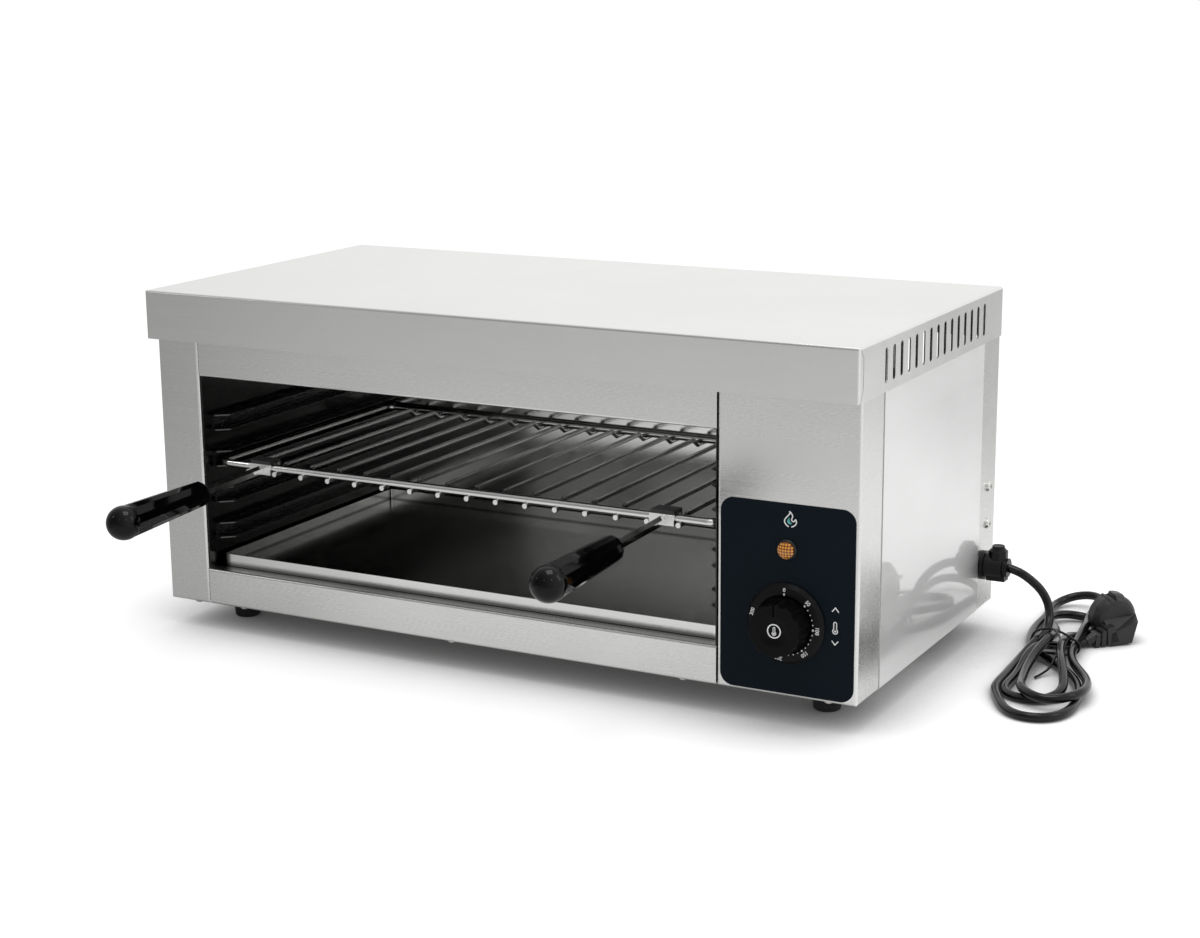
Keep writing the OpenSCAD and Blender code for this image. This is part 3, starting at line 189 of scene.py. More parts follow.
def moulded_skin_group():
    """Fine spark-eroded texture of moulded plastic and rubber."""
    group, w, start, end = new_group(
        "Moulded skin",
        [("Vector", "Vector", None), ("Pit Scale", "Float", 1400.0), ("Wave Scale", "Float", 60.0)],
        [("Height", "Float"), ("Tone", "Float")])
    pits = w.add("ShaderNodeTexVoronoi", {"Vector": start["Vector"], "Scale": start["Pit Scale"]},
                 feature="SMOOTH_F1").outputs["Distance"]
    waves = w.add("ShaderNodeTexNoise", {"Vector": start["Vector"], "Scale": start["Wave Scale"],
                                         "Detail": 4.0}).outputs["Fac"]
    w.tree.links.new(w.math("ADD", w.math("MULTIPLY", pits, PIT_SHARE), waves), end["Height"])
    w.tree.links.new(waves, end["Tone"])
    return group


def edge_wear_group():
    """Mask that is 1 along worn outer edges, broken up by noise."""
    group, w, start, end = new_group(
        "Edge wear",
        [("Vector", "Vector", None), ("Width", "Float", 0.0006), ("Breakup", "Float", 300.0)],
        [("Wear", "Float")])
    rounded = w.add("ShaderNodeBevel", {"Radius": start["Width"]}, samples=4).outputs["Normal"]
    true = w.add("ShaderNodeNewGeometry").outputs["Normal"]
    facing = w.reach(rounded, true)
    edge = w.spread(facing, low=1.0, high=0.0, start=0.75, end=0.98)
    noise = w.add("ShaderNodeTexNoise", {"Vector": start["Vector"], "Scale": start["Breakup"],
                                         "Detail": 3.0}).outputs["Fac"]
    broken = w.spread(noise, start=0.35, end=0.6)
    w.tree.links.new(w.math("MULTIPLY", edge, broken), end["Wear"])
    return group


def settled_dust_group():
    """Thin dust that gathers on faces that look up."""
    group, w, start, end = new_group(
        "Settled dust",
        [("Vector", "Vector", None), ("Cover", "Float", 0.5)],
        [("Dust", "Float")])
    normal = w.add("ShaderNodeNewGeometry").outputs["Normal"]
    up = w.reach(normal, (0.0, 0.0, 1.0))
    noise = w.add("ShaderNodeTexNoise", {"Vector": start["Vector"], "Scale": 90.0, "Detail": 6.0,
                                         "Roughness": 0.7}).outputs["Fac"]
    lying = w.math("MULTIPLY", w.spread(up, start=0.2), w.spread(noise, start=0.35, end=0.75))
    w.tree.links.new(w.math("MULTIPLY", lying, start["Cover"]), end["Dust"])
    return group


def painted_shade_ramp_group():
    """Painted shade: tone that is darkest at Start and full from End on, along one way."""
    group, w, start, end = new_group(
        "Painted shade ramp",
        [("Vector", "Vector", None), ("Way", "Vector", (1.0, 0.0, 0.0)), ("Start", "Float", 0.0),
         ("End", "Float", 0.1), ("Darkest", "Float", 0.5)],
        [("Tone", "Float")])
    tone = w.spread(w.reach(start["Vector"], start["Way"]), start["Darkest"], 1.0,
                    start["Start"], start["End"])
    w.tree.links.new(tone, end["Tone"])
    return group


GRAIN = rolled_grain_group()
MARKS = hand_marks_group()
SKIN = moulded_skin_group()
WEAR = edge_wear_group()
DUST = settled_dust_group()
SHADE_RAMP = painted_shade_ramp_group()


class Finish(Wiring):
    """One material: a Principled shader with this object's coordinates at hand."""

    def __init__(self, name, colour, **sockets):
        self.material = bpy.data.materials.new(name)
        self.material.use_nodes = True
        super().__init__(self.material.node_tree)
        self.shader = self.tree.nodes["Principled BSDF"]
        self.put("Base Color", rgba(colour))
        for key, value in sockets.items():
            self.put(key.replace("_", " "), value)
        self.place = self.add("ShaderNodeTexCoord").outputs["Object"]

    def put(self, socket, value):
        if isinstance(value, bpy.types.NodeSocket):
            self.tree.links.new(value, self.shader.inputs[socket])
        else:
            self.shader.inputs[socket].default_value = value

    def group(self, group, **inputs):
        made = self.add("ShaderNodeGroup", node_tree=group)
        self.tree.links.new(self.place, made.inputs["Vector"])
        for key, value in inputs.items():
            made.inputs[key.replace("_", " ")].default_value = value
        return made.outputs

    def bump(self, height, strength, distance):
        made = self.add("ShaderNodeBump", {"Height": height, "Strength": strength,
                                           "Distance": distance})
        self.put("Normal", made.outputs["Normal"])


# Scale of the rolled lines for sheets whose grain runs along X or Y.
ALONG_X = (5.0, 1100.0, 1100.0)
ALONG_Y = (1100.0, 5.0, 1100.0)
# Least and most of a finish's roughness and tone, as shares of the value given.
ROUGHNESS_SPAN = (0.85, 1.15)
GRAIN_TONES = (0.955, 1.045)
# Heights of the bumps, in metres.
GRAIN_HEIGHT = 0.00004
SMEAR_HEIGHT = 0.00006
SKIN_HEIGHT = 0.0001
PRINT_HEIGHT = 0.00005
PRISM_HEIGHT = 0.0003
DUST_COLOUR = (0.30, 0.29, 0.27)
# Worn metal edges are brighter; rubbed plastic edges are lighter and a little grey.
POLISHED_GAIN = 1.12
SMEAR_ROUGHNESS = 0.08
SMEAR_DEPTH = 0.12
RUBBED_GAIN = 1.6
RUBBED_LIFT = 0.04
RUBBED_SHARE = 0.35


def uneven(made, mask, roughness):
    """Roughness that a mask varies a little to both sides."""
    low, high = (roughness * share for share in ROUGHNESS_SPAN)
    return made.spread(mask, low, high, NOISE_LOW, NOISE_HIGH)


def sheet_steel(name, colour, roughness, lines, depth, marks=0.05, seed=0.0, size=0.09,
                painted_shade=None, clear=None):
    """Stainless sheet: rolled grain and wipe marks, with a painted shade ramp and a clear gloss,
    each where given.
    """
    made = Finish(name, colour, Metallic=1.0, **(clear or {}))
    grain = made.group(GRAIN, Line_Scale=lines)
    hands = made.group(MARKS, Size=size, Seed=seed)
    mean = made.math("ADD", made.math("MULTIPLY", grain["Grain"], 0.5),
                     made.math("MULTIPLY", hands["Clouds"], 0.5))
    tone = made.spread(mean, *GRAIN_TONES, NOISE_LOW, NOISE_HIGH)
    # Painted shade: the ramp darkens the sheet's tone along one way.
    if painted_shade:
        tone = made.math("MULTIPLY", tone, made.group(SHADE_RAMP, **painted_shade)["Tone"])
    made.put("Base Color", made.add("ShaderNodeVectorMath", {0: colour, 1: tone},
                                    operation="MULTIPLY").outputs[0])
    smeared = made.math("MULTIPLY", hands["Marks"], marks)
    made.put("Roughness", made.math("ADD", uneven(made, grain["Grain"], roughness), smeared))
    made.bump(grain["Grain"], depth, GRAIN_HEIGHT)
    return made.material


def bright_metal(name, colour, roughness):
    """Plated or polished small part with faint smears and worn edges."""
    made = Finish(name, colour, Metallic=1.0)
    hands = made.group(MARKS, Size=0.02)
    wear = made.group(WEAR, Width=0.0005)
    polished = [min(1.0, c * POLISHED_GAIN) for c in colour]
    made.put("Base Color", made.blend(wear["Wear"], colour, polished))
    made.put("Roughness", made.spread(hands["Clouds"], roughness, roughness + SMEAR_ROUGHNESS,
                                      NOISE_LOW, NOISE_HIGH))
    made.bump(hands["Marks"], SMEAR_DEPTH, SMEAR_HEIGHT)
    return made.material


def moulded(name, colour, roughness, pits=1400.0, depth=0.25, dust=0.12, shine=0.35):
    """Moulded plastic or rubber: fine skin, rubbed edges and a trace of dust."""
    made = Finish(name, colour, Specular_IOR_Level=shine)
    skin = made.group(SKIN, Pit_Scale=pits)
    wear = made.group(WEAR, Width=0.0008)
    settled = made.group(DUST, Cover=dust)
    rubbed = made.blend(made.math("MULTIPLY", wear["Wear"], RUBBED_SHARE), colour,
                        [c * RUBBED_GAIN + RUBBED_LIFT for c in colour])
    made.put("Base Color", made.blend(settled["Dust"], rubbed, DUST_COLOUR))
    made.put("Roughness", uneven(made, skin["Tone"], roughness))
    made.bump(skin["Height"], depth, SKIN_HEIGHT)
    return made.material


# ---------- Finishes of the solids ----------

SHEETS = {
    "cover_steel": dict(colour=(0.80, 0.80, 0.785), roughness=0.30, lines=ALONG_X, depth=0.16,
                        seed=1.0, size=0.16),
    "side_steel": dict(colour=(0.86, 0.865, 0.855), roughness=0.48, lines=ALONG_Y, depth=0.04,
                       seed=2.0,
                       clear=dict(Coat_Weight=1.0, Coat_Roughness=0.03, Coat_IOR=2.2)),
    "front_steel": dict(colour=(0.775, 0.775, 0.76), roughness=0.26, lines=ALONG_X, depth=0.03,
                        marks=0.02, seed=3.0),
    "back_steel": dict(colour=(0.74, 0.74, 0.725), roughness=0.28, lines=ALONG_X, depth=0.4,
                       seed=4.0),
    # Painted shade: the cavity's side walls and floor are a near-black copy of the steel.
    "cavity_steel": dict(colour=(0.05, 0.05, 0.049), roughness=0.16, lines=ALONG_X, depth=0.10,
                         seed=5.0),
    # Painted light and shade: the back wall is a brighter copy of the steel, and a painted shade
    # ramp darkens it towards the left.
    "wall_steel": dict(colour=(0.92, 0.92, 0.90), roughness=0.13, lines=ALONG_X, depth=0.06,
                       seed=9.0,
                       painted_shade=dict(Way=(1.0, 0.0, 0.0), Start=-0.08, End=0.12, Darkest=0.60)),
    # Painted shade: the tray's floor is darkened below its rim.
    "tray_steel": dict(colour=(0.80, 0.80, 0.785), roughness=0.16, lines=ALONG_X, depth=0.06,
                       seed=6.0,
                       painted_shade=dict(Way=(0.0, 0.0, 1.0), Start=0.053, End=0.055, Darkest=0.36)),
    # Painted shade: the rack channels are a near-black copy of the steel.
    "channel_steel": dict(colour=(0.10, 0.10, 0.098), roughness=0.26, lines=ALONG_Y, depth=0.1,
                          seed=7.0),
    "reflector_steel": dict(colour=(0.66, 0.66, 0.65), roughness=0.30, lines=ALONG_X, depth=0.3,
                            seed=8.0),
}
BRIGHT_PARTS = {
    "rack_chrome": dict(colour=(0.78, 0.78, 0.77), roughness=0.10),
    "clamp_steel": dict(colour=(0.76, 0.76, 0.75), roughness=0.18),
    "handle_steel": dict(colour=(0.82, 0.82, 0.81), roughness=0.07),
    "nut_brass": dict(colour=(0.72, 0.60, 0.34), roughness=0.28),
    "copper": dict(colour=(0.78, 0.46, 0.30), roughness=0.26),
    "screw_steel": dict(colour=(0.74, 0.74, 0.72), roughness=0.22),
    "pin_nickel": dict(colour=(0.80, 0.78, 0.74), roughness=0.16),
}
MOULDINGS = {
    "clamp_black": dict(colour=(0.035, 0.035, 0.036), roughness=0.42),
    "grip_black": dict(colour=(0.001, 0.001, 0.0012), roughness=0.05, pits=300.0, depth=0.01,
                       dust=0.0, shine=0.22),
    "heater_sheath": dict(colour=(0.07, 0.07, 0.068), roughness=0.48, pits=2200.0),
    "label_dark": dict(colour=(0.005, 0.009, 0.014), roughness=0.42, pits=2600.0, depth=0.05,
                       dust=0.01, shine=0.06),
    "ring_black": dict(colour=(0.005, 0.005, 0.006), roughness=0.30, dust=0.0, shine=0.12),
    "knob_black": dict(colour=(0.004, 0.0038, 0.004), roughness=0.36, dust=0.0, shine=0.08),
    "thermostat_cream": dict(colour=(0.72, 0.68, 0.58), roughness=0.55),
    "lamp_black": dict(colour=(0.014, 0.014, 0.014), roughness=0.30),
    "terminal_white": dict(colour=(0.78, 0.76, 0.70), roughness=0.50),
    "gland_black": dict(colour=(0.003, 0.003, 0.003), roughness=0.34, dust=0.0, shine=0.25),
    "cord_black": dict(colour=(0.003, 0.003, 0.0035), roughness=0.20, pits=1800.0, depth=0.06,
                       dust=0.0, shine=0.32),
    "plug_black": dict(colour=(0.023, 0.023, 0.024), roughness=0.34, dust=0.02),
    "foot_rubber": dict(colour=(0.012, 0.012, 0.012), roughness=0.62),
}

FINISHES = {}
for make, table in ((sheet_steel, SHEETS), (bright_metal, BRIGHT_PARTS), (moulded, MOULDINGS)):
    for name, values in table.items():
        FINISHES[name] = make(name, **values)


def amber_lens():
    """Pilot lamp lens: tinted plastic over a pressed grid of small prisms."""
    made = Finish("lamp_amber", (0.56, 0.21, 0.02), Roughness=0.22, Coat_Weight=0.5,
                  Coat_Roughness=0.05)
    rows = [made.add("ShaderNodeTexWave", {"Vector": made.place, "Scale": 150.0, "Distortion": 0.0},
                     bands_direction=axis).outputs["Fac"] for axis in "XZ"]
    grid = made.math("MULTIPLY", rows[0], rows[1])
    # Painted glow and glints: the prisms' peaks get a lighter colour, and the lens emits from them
    # though the lamp has no power.
    glow = made.spread(grid, start=0.05, end=0.6)
    made.put("Base Color", made.blend(glow, (0.20, 0.055, 0.004), (0.78, 0.34, 0.04)))
    made.put("Emission Color", made.blend(glow, (0.05, 0.012, 0.0), (0.42, 0.15, 0.01)))
    made.put("Emission Strength", 0.35)
    made.bump(grid, 0.5, PRISM_HEIGHT)
    return made.material


FINISHES["lamp_amber"] = amber_lens()

NODE_FINISH = {
    "cover_steel": ["top_cover"],
    "side_steel": ["left_side_panel", "right_side_panel"],
    "front_steel": ["left_front_post", "control_panel", "upper_front_panel", "lower_front_panel"],
    "back_steel": ["back_panel", "base_plate", "terminal_bracket"],
    "cavity_steel": ["left_cavity_wall", "right_cavity_wall", "cavity_floor"],
    "wall_steel": ["cavity_back_wall"],
    "tray_steel": ["drip_tray"],
    "channel_steel": ["left_rack_channels", "right_rack_channels", "sensor_clips"],
    "reflector_steel": ["heat_reflector", "heater_hanger"],
    "heater_sheath": ["front_heater", "rear_heater"],
    "nut_brass": ["heater_nuts", "thermostat_shaft"],
    "copper": ["sensor_bulb", "sensor_tube"],
    "screw_steel": ["heater_tabs", "side_screws", "panel_screws", "clamp_screws", "foot_screws",
                    "foot_nuts"],
    "rack_chrome": ["wire_rack"],
    "clamp_steel": ["left_handle_clamp", "right_handle_clamp"],
    "clamp_black": ["left_clamp_plate", "right_clamp_plate"],
    "handle_steel": ["left_handle_rod", "right_handle_rod"],
    "grip_black": ["left_grip", "right_grip"],
    "label_dark": ["control_label"],
    "ring_black": ["scale_ring"],
    "knob_black": ["thermostat_knob"],
    "thermostat_cream": ["thermostat_body"],
    "lamp_amber": ["lamp_lens"],
    "lamp_black": ["lamp_body", "lamp_nut"],
    "terminal_white": ["terminal_block"],
    "gland_black": ["gland_body", "gland_nut", "gland_screw"],
    "cord_black": ["inner_leads", "cord_lead", "cord_hank", "cord_tail", "cord_tie"],
    "plug_black": ["plug_body"],
    "pin_nickel": ["plug_pins"],
    "foot_rubber": ["rubber_feet"],
}

for finish, names in NODE_FINISH.items():
    for name in names:
        for material_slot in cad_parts[name].material_slots:
            material_slot.material = FINISHES[finish]

# ---------- Pieces ----------


def link(name, data, finish, body):
    """Puts a mesh or curve in the scene as a piece that rides on a body."""
    piece = bpy.data.objects.new(name, data)
    bpy.context.scene.collection.objects.link(piece)
    data.materials.append(finish)
    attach(piece, body)
    return piece


def smooth_route(points, steps):
    """Catmull-Rom curve through points given in millimetres, in metres."""
    ends = [2 * Vector(points[0]) - Vector(points[1])]
    ends += [Vector(p) for p in points]
    ends.append(2 * Vector(points[-1]) - Vector(points[-2]))
    out = []
    for i in range(1, len(ends) - 2):
        a, b, c, d = ends[i - 1:i + 3]
        for j in range(steps):
            t = j / steps
            out.append(0.5 * (2 * b + (c - a) * t + (2 * a - 5 * b + 4 * c - d) * t * t
                              + (3 * b - a - 3 * c + d) * t ** 3) * MM)
    out.append(ends[-2] * MM)
    return out


def swept_curve(name, route, radius, resolution):
    """Round black cord or tie along points in metres: one open poly spline with a round bevel."""
    curve = bpy.data.curves.new(name, "CURVE")
    curve.dimensions = "3D"
    curve.bevel_depth = radius
    curve.bevel_resolution = resolution
    curve.use_fill_caps = True
    spline = curve.splines.new("POLY")
    spline.points.add(len(route) - 1)
    for spot, place in zip(spline.points, route):
        spot.co = (*place, 1.0)
    spline.use_smooth = True
    return link(name, curve, FINISHES["cord_black"], "casing")


# ---------- Mains cord ----------

CORD_D = 7.0
# From the gland down to the counter, then three long loops to the front and two to the back
# inside the tie, and out to the plug. Millimetres along the cord's centre line.
CORD_ROUTE = [
    (325.5, 207.0, 58.0), (336.0, 206.4, 55.0), (345.2, 207.3, 49.1), (352.6, 209.3, 41.3),
    (358.2, 208.4, 32.0), (361.1, 204.0, 22.5), (362.1, 195.5, 15.8), (361.3, 185.0, 12.7),
    (359.5, 174.3, 10.8), (357.8, 163.8, 8.3), (356.6, 153.1, 5.9), (356.0, 142.2, 4.3),
    (356.0, 131.3, 3.6), (356.3, 120.3, 3.5), (356.9, 109.3, 3.5), (357.3, 98.3, 3.5),
    (357.8, 87.3, 3.5), (359.2, 76.4, 3.5), (362.7, 66.0, 3.5), (367.3, 56.0, 3.5),
    (372.3, 46.3, 3.5), (378.0, 36.8, 3.5), (385.2, 28.7, 3.5), (394.9, 23.7, 3.5),
    (405.8, 24.0, 3.5), (415.1, 29.6, 3.5), (420.8, 38.9, 3.5), (423.0, 49.7, 3.5),
    (423.2, 60.7, 3.5), (422.2, 71.6, 3.5), (420.3, 82.4, 3.5), (417.7, 93.1, 3.5),
    (414.2, 103.5, 3.5), (409.7, 113.6, 3.5), (404.2, 123.1, 3.5), (397.8, 132.0, 3.5),
    (390.7, 140.4, 3.5), (383.0, 148.3, 3.5), (375.2, 156.0, 3.5), (367.7, 164.0, 3.5),
    (360.9, 172.7, 3.5), (355.2, 182.0, 3.5), (350.4, 192.0, 3.5), (346.9, 202.4, 3.5),
    (344.3, 213.0, 3.5), (342.5, 223.9, 3.5), (341.4, 234.8, 3.5), (340.9, 245.8, 3.5),
    (340.7, 256.8, 3.5), (340.1, 267.8, 3.5), (338.9, 278.7, 3.5), (337.5, 289.6, 3.5),
    (337.7, 300.6, 3.9), (342.2, 310.3, 5.9), (350.8, 316.2, 8.6), (361.5, 316.7, 10.6),
    (371.1, 311.6, 11.2), (376.9, 302.5, 10.4), (378.2, 291.6, 9.7), (377.8, 280.7, 10.1),
    (377.8, 269.7, 10.9), (378.5, 258.8, 10.4), (379.9, 247.9, 9.8), (381.8, 237.1, 10.3),
    (383.7, 226.3, 11.4), (385.2, 215.4, 11.5), (386.4, 204.5, 10.8), (387.3, 193.6, 9.9),
    (388.3, 182.6, 9.4), (389.8, 171.8, 9.2), (392.1, 161.0, 9.0), (395.5, 150.6, 8.8),
    (400.0, 140.5, 8.6), (405.4, 131.0, 8.5), (411.2, 121.6, 8.5), (416.6, 112.0, 8.6),
    (421.0, 102.0, 8.8), (424.0, 91.4, 9.3), (425.4, 80.5, 10.0), (424.6, 69.6, 10.6),
    (420.4, 59.6, 10.3), (411.9, 52.8, 9.3), (401.2, 51.0, 9.2), (391.0, 54.7, 10.1),
    (383.8, 62.9, 10.5), (379.7, 73.0, 9.7), (376.9, 83.6, 8.7), (374.6, 94.3, 8.2),
    (372.6, 105.1, 8.1), (370.9, 116.0, 8.5), (369.7, 126.9, 9.4), (369.1, 137.7, 11.0),
    (369.3, 148.6, 13.0), (370.0, 159.4, 14.9), (370.6, 170.3, 15.9), (370.2, 181.2, 14.9),
    (369.1, 192.0, 13.0), (367.3, 202.6, 11.0), (364.4, 213.1, 9.3), (360.2, 223.2, 8.0),
    (355.1, 232.9, 7.3), (350.2, 242.7, 6.9), (347.6, 253.3, 6.8), (350.0, 263.9, 6.5),
    (357.4, 271.9, 5.6), (367.7, 275.0, 4.5), (378.2, 272.4, 3.6), (386.0, 264.8, 3.5),
    (389.1, 254.4, 3.5), (387.9, 243.5, 3.5), (384.9, 232.9, 3.7), (381.8, 222.4, 4.8),
    (379.8, 211.9, 7.2), (379.0, 201.3, 10.0), (379.3, 190.5, 11.8), (380.5, 179.6, 12.8),
    (382.1, 168.8, 13.5), (384.4, 158.0, 14.0), (387.3, 147.4, 14.2), (390.8, 137.0, 14.0),
    (394.5, 126.7, 13.4), (398.2, 116.4, 12.2), (401.9, 106.1, 10.7), (405.2, 95.8, 9.0),
    (407.5, 85.2, 7.2), (406.8, 74.4, 5.6), (401.1, 65.2, 4.3), (391.5, 60.1, 3.6),
    (380.6, 60.6, 3.5), (371.6, 66.5, 3.5), (366.6, 76.2, 3.5), (365.0, 87.1, 3.5),
    (364.7, 98.1, 3.5), (364.4, 109.1, 3.7), (363.8, 120.0, 4.5), (363.1, 130.9, 6.1),
    (362.6, 141.7, 8.1), (363.0, 152.5, 10.1), (364.6, 163.3, 10.9), (367.5, 173.7, 9.3),
    (371.9, 183.4, 6.5), (377.3, 192.7, 4.2), (383.1, 202.0, 3.5), (390.1, 210.2, 4.5),
]

# Moulded plug in its own frame: +X along the cord, +Z along the pins, in millimetres.
PLUG_AT = (399.0, 244.5, 18.5)
PLUG_X = (-0.663, -0.618, -0.423)
PLUG_Y = (-0.309, -0.288, 0.906)
PLUG_Z = (-0.682, 0.731, 0.0)
# Lowest that the plug's skin reaches over the counter.
PLUG_REST = 0.4
# Head, from the pin face to the rounded back: place along the pins, radius, and 1 where the rim's
# steps show.
HEAD_RINGS = [(3.0, 17.4, 0), (2.6, 18.4, 1), (-6.0, 18.4, 1), (-9.0, 17.4, 1), (-11.6, 15.0, 0),
              (-12.8, 12.0, 0)]
HEAD_STEP = 4
# Steps of the rim: from and to an angle in degrees, and how far each stands out. An earth strip,
# the slot beside it and a second ridge.
RIM_STEPS = ((112, 140, 1.3), (100, 112, -2.0), (90, 100, 0.9))
# Block between the head and the cord, as outlines across the pins from the back to the front.
BLOCK = [(-24.0, [(13.1, -2.3), (-10.9, -4.6), (0.5, -18.3), (18.2, -12.2)]),
         (-12.0, [(11.2, 6.2), (-15.7, -3.6), (-2.5, -18.6), (17.0, -13.0)]),
         (-2.0, [(11.2, 6.2), (-15.7, -3.6), (-2.5, -18.6), (17.0, -13.0)])]
# Three slit blocks of the strain relief, their shared core, and the collar that the cord enters.
RELIEF = [[(24.8, 3.2), (30.3, -6.6), (26.8, -7.6), (21.4, 2.6)],
          [(19.3, 3.2), (24.9, -8.2), (21.6, -9.4), (15.9, 2.6)],
          [(14.6, 3.2), (19.4, -9.6), (10.0, -11.0), (8.0, 2.0)]]
RELIEF_SPAN = (-24.0, -12.5)
RELIEF_CORE = [(27.0, 0.8), (28.2, -4.6), (12.0, -8.0), (10.0, 1.0)]
CORE_SPAN = (-22.6, -14.0)
COLLAR = [(24.0, 4.4), (33.4, 4.4), (33.9, 4.0)]
COLLAR_Z = -19.0
COLLAR_SIDES = 24
SHARP_EDGE = math.radians(35)
EDGE_ROUNDING = 0.45


def loft(shape, rings):
    """Closed skin over rings of points, each ring with the same number of points."""
    loops = [[shape.verts.new(p) for p in ring] for ring in rings]
    for low, high in zip(loops, loops[1:]):
        for k in range(len(low)):
            n = (k + 1) % len(low)
            shape.faces.new((low[k], low[n], high[n], high[k]))
    shape.faces.new(loops[0][::-1])
    shape.faces.new(loops[-1])


def rim_height(angle):
    """How far the head's rim stands out at an angle in degrees."""
    for low, high, height in RIM_STEPS:
        if low <= angle < high:
            return height
    return 0.0


def head_ring(z, radius, stepped):
    """Ring of the plug's head, with the rim's steps where it is stepped."""
    out = []
    for angle in range(0, 360, HEAD_STEP):
        reach = radius + (rim_height(angle) if stepped else 0.0)
        turn = math.radians(angle)
        out.append((reach * math.cos(turn), reach * math.sin(turn), z))
    return out


def plug_mesh():
    """The moulded plug: head, block, slit strain relief and collar, with rounded edges."""
    shape = bmesh.new()
    loft(shape, [head_ring(*ring) for ring in HEAD_RINGS])
    loft(shape, [[(x, y, z) for x, y in ring] for z, ring in BLOCK])
    for ring, span in [(ring, RELIEF_SPAN) for ring in RELIEF] + [(RELIEF_CORE, CORE_SPAN)]:
        loft(shape, [[(x, y, z) for x, y in ring] for z in span])
    turns = [2 * math.pi * k / COLLAR_SIDES for k in range(COLLAR_SIDES)]
    loft(shape, [[(x, r * math.cos(t), COLLAR_Z + r * math.sin(t)) for t in turns]
                 for x, r in COLLAR])
    bmesh.ops.recalc_face_normals(shape, faces=shape.faces)
    sharp = [e for e in shape.edges if e.calc_face_angle(0.0) > SHARP_EDGE]
    bmesh.ops.bevel(shape, geom=sharp, offset=EDGE_ROUNDING, segments=2, profile=0.6,
                    affect="EDGES", clamp_overlap=True)
    for vert in shape.verts:
        x, y, z = vert.co
        place = (Vector(PLUG_AT) + x * Vector(PLUG_X) + y * Vector(PLUG_Y) + z * Vector(PLUG_Z))
        place.z = max(place.z, PLUG_REST)
        vert.co = place * MM
    mesh = bpy.data.meshes.new("moulded_plug")
    shape.to_mesh(mesh)
    shape.free()
    return mesh


moulded_plug = link("moulded_plug", plug_mesh(), FINISHES["plug_black"], "casing")
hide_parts("plug_body")

cord_line = smooth_route(CORD_ROUTE, 5)
mains_cord = swept_curve("mains_cord", cord_line, CORD_D / 2 * MM, resolution=6)
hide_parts("cord_lead", "cord_hank", "cord_tail")

# Twist tie round the waist of the hank, with its twisted tail lying forward on the counter.
# The loop is x and z round the hank; the tail runs along all three.
TIE_LOOP = [(352.4, 3.2), (353.6, 9.0), (356.4, 16.2), (363.5, 20.0), (371.0, 21.2), (379.0, 19.4),
            (386.6, 15.6), (392.4, 11.2), (391.6, 5.0), (385.0, 1.6), (371.0, 1.3), (358.0, 1.4)]
TIE_TAIL = [(371.0, 179.5, 21.2), (377.5, 171.0, 21.4), (383.0, 160.0, 20.6), (386.5, 148.0, 19.0),
            (386.0, 138.0, 12.0), (384.0, 131.0, 5.8), (380.5, 125.0, 2.6), (377.5, 115.5, 1.7)]
TIE_Y = 180.0
TIE_SWAY = 1.2
TIE_RADIUS = 0.95 * MM
tie_ring = [(x, TIE_Y + TIE_SWAY * math.sin(k), z)
            for k, (x, z) in enumerate(TIE_LOOP + TIE_LOOP[:1])]
cord_tie = swept_curve("twist_tie", smooth_route(tie_ring, 6), TIE_RADIUS, resolution=3)
swept_curve("twist_tie_tail", smooth_route(TIE_TAIL, 6), TIE_RADIUS, resolution=3)
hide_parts("cord_tie")

# ---------- Printing on the label, the scale ring and the knob ----------

# Millimetres: middle of the label, centres of the dial and the lamp, the label's face, how far
# the scale ring stands out of it, and how thick the print is.
CONTROL_X = 249.25
DIAL_Z = 76.6
LAMP_Z = 130.5
LABEL_Y = -63.0
RING_FACE = 4.35
INK = 0.12


def ink_finish(name, colour):
    """Screen-printed ink with a faint unevenness."""
    made = Finish(name, colour, Roughness=0.45)
    skin = made.group(SKIN, Pit_Scale=2600.0)
    made.put("Base Color", made.blend(skin["Tone"], [c * 0.94 for c in colour], colour))
    made.bump(skin["Height"], 0.05, PRINT_HEIGHT)
    return made.material


WHITE_PRINT = ink_finish("white_print", (0.86, 0.87, 0.86))
TEAL_PRINT = ink_finish("teal_print", (0.10, 0.42, 0.42))


def printed(name, loops, x, z, y, ink, body="casing", thick=INK):
    """Flat print on a face that looks to the front: closed outlines in millimetres about x, z."""
    curve = bpy.data.curves.new(name + "_outline", "CURVE")
    curve.dimensions = "2D"
    curve.fill_mode = "BOTH"
    curve.extrude = thick / 2 * MM
    for loop in loops:
        spline = curve.splines.new("POLY")
        spline.points.add(len(loop) - 1)
        for spot, (u, v) in zip(spline.points, loop):
            spot.co = (u * MM, v * MM, 0.0, 1.0)
        spline.use_cyclic_u = True
    return pressed(name, curve, Matrix.Translation((x * MM, (y - thick / 2) * MM, z * MM))
                   @ Matrix.Rotation(math.radians(90), 4, "X"), ink, body)


def pressed(name, curve, place, ink, body):
    """Mesh of a filled curve or text, put in place."""
    holder = bpy.data.objects.new(name + "_holder", curve)
    bpy.context.scene.collection.objects.link(holder)
    bpy.context.view_layer.update()
    mesh = bpy.data.meshes.new_from_object(holder.evaluated_get(
        bpy.context.evaluated_depsgraph_get()))
    bpy.data.objects.remove(holder)
    mesh.transform(place)
    mesh.materials.clear()
    mesh.name = name
    return link(name, mesh, ink, body)


def circle(u, v, radius, sides=40):
    """Points round a whole circle, the first not repeated."""
    return [(u + radius * math.cos(2 * math.pi * k / sides),
             v + radius * math.sin(2 * math.pi * k / sides)) for k in range(sides)]


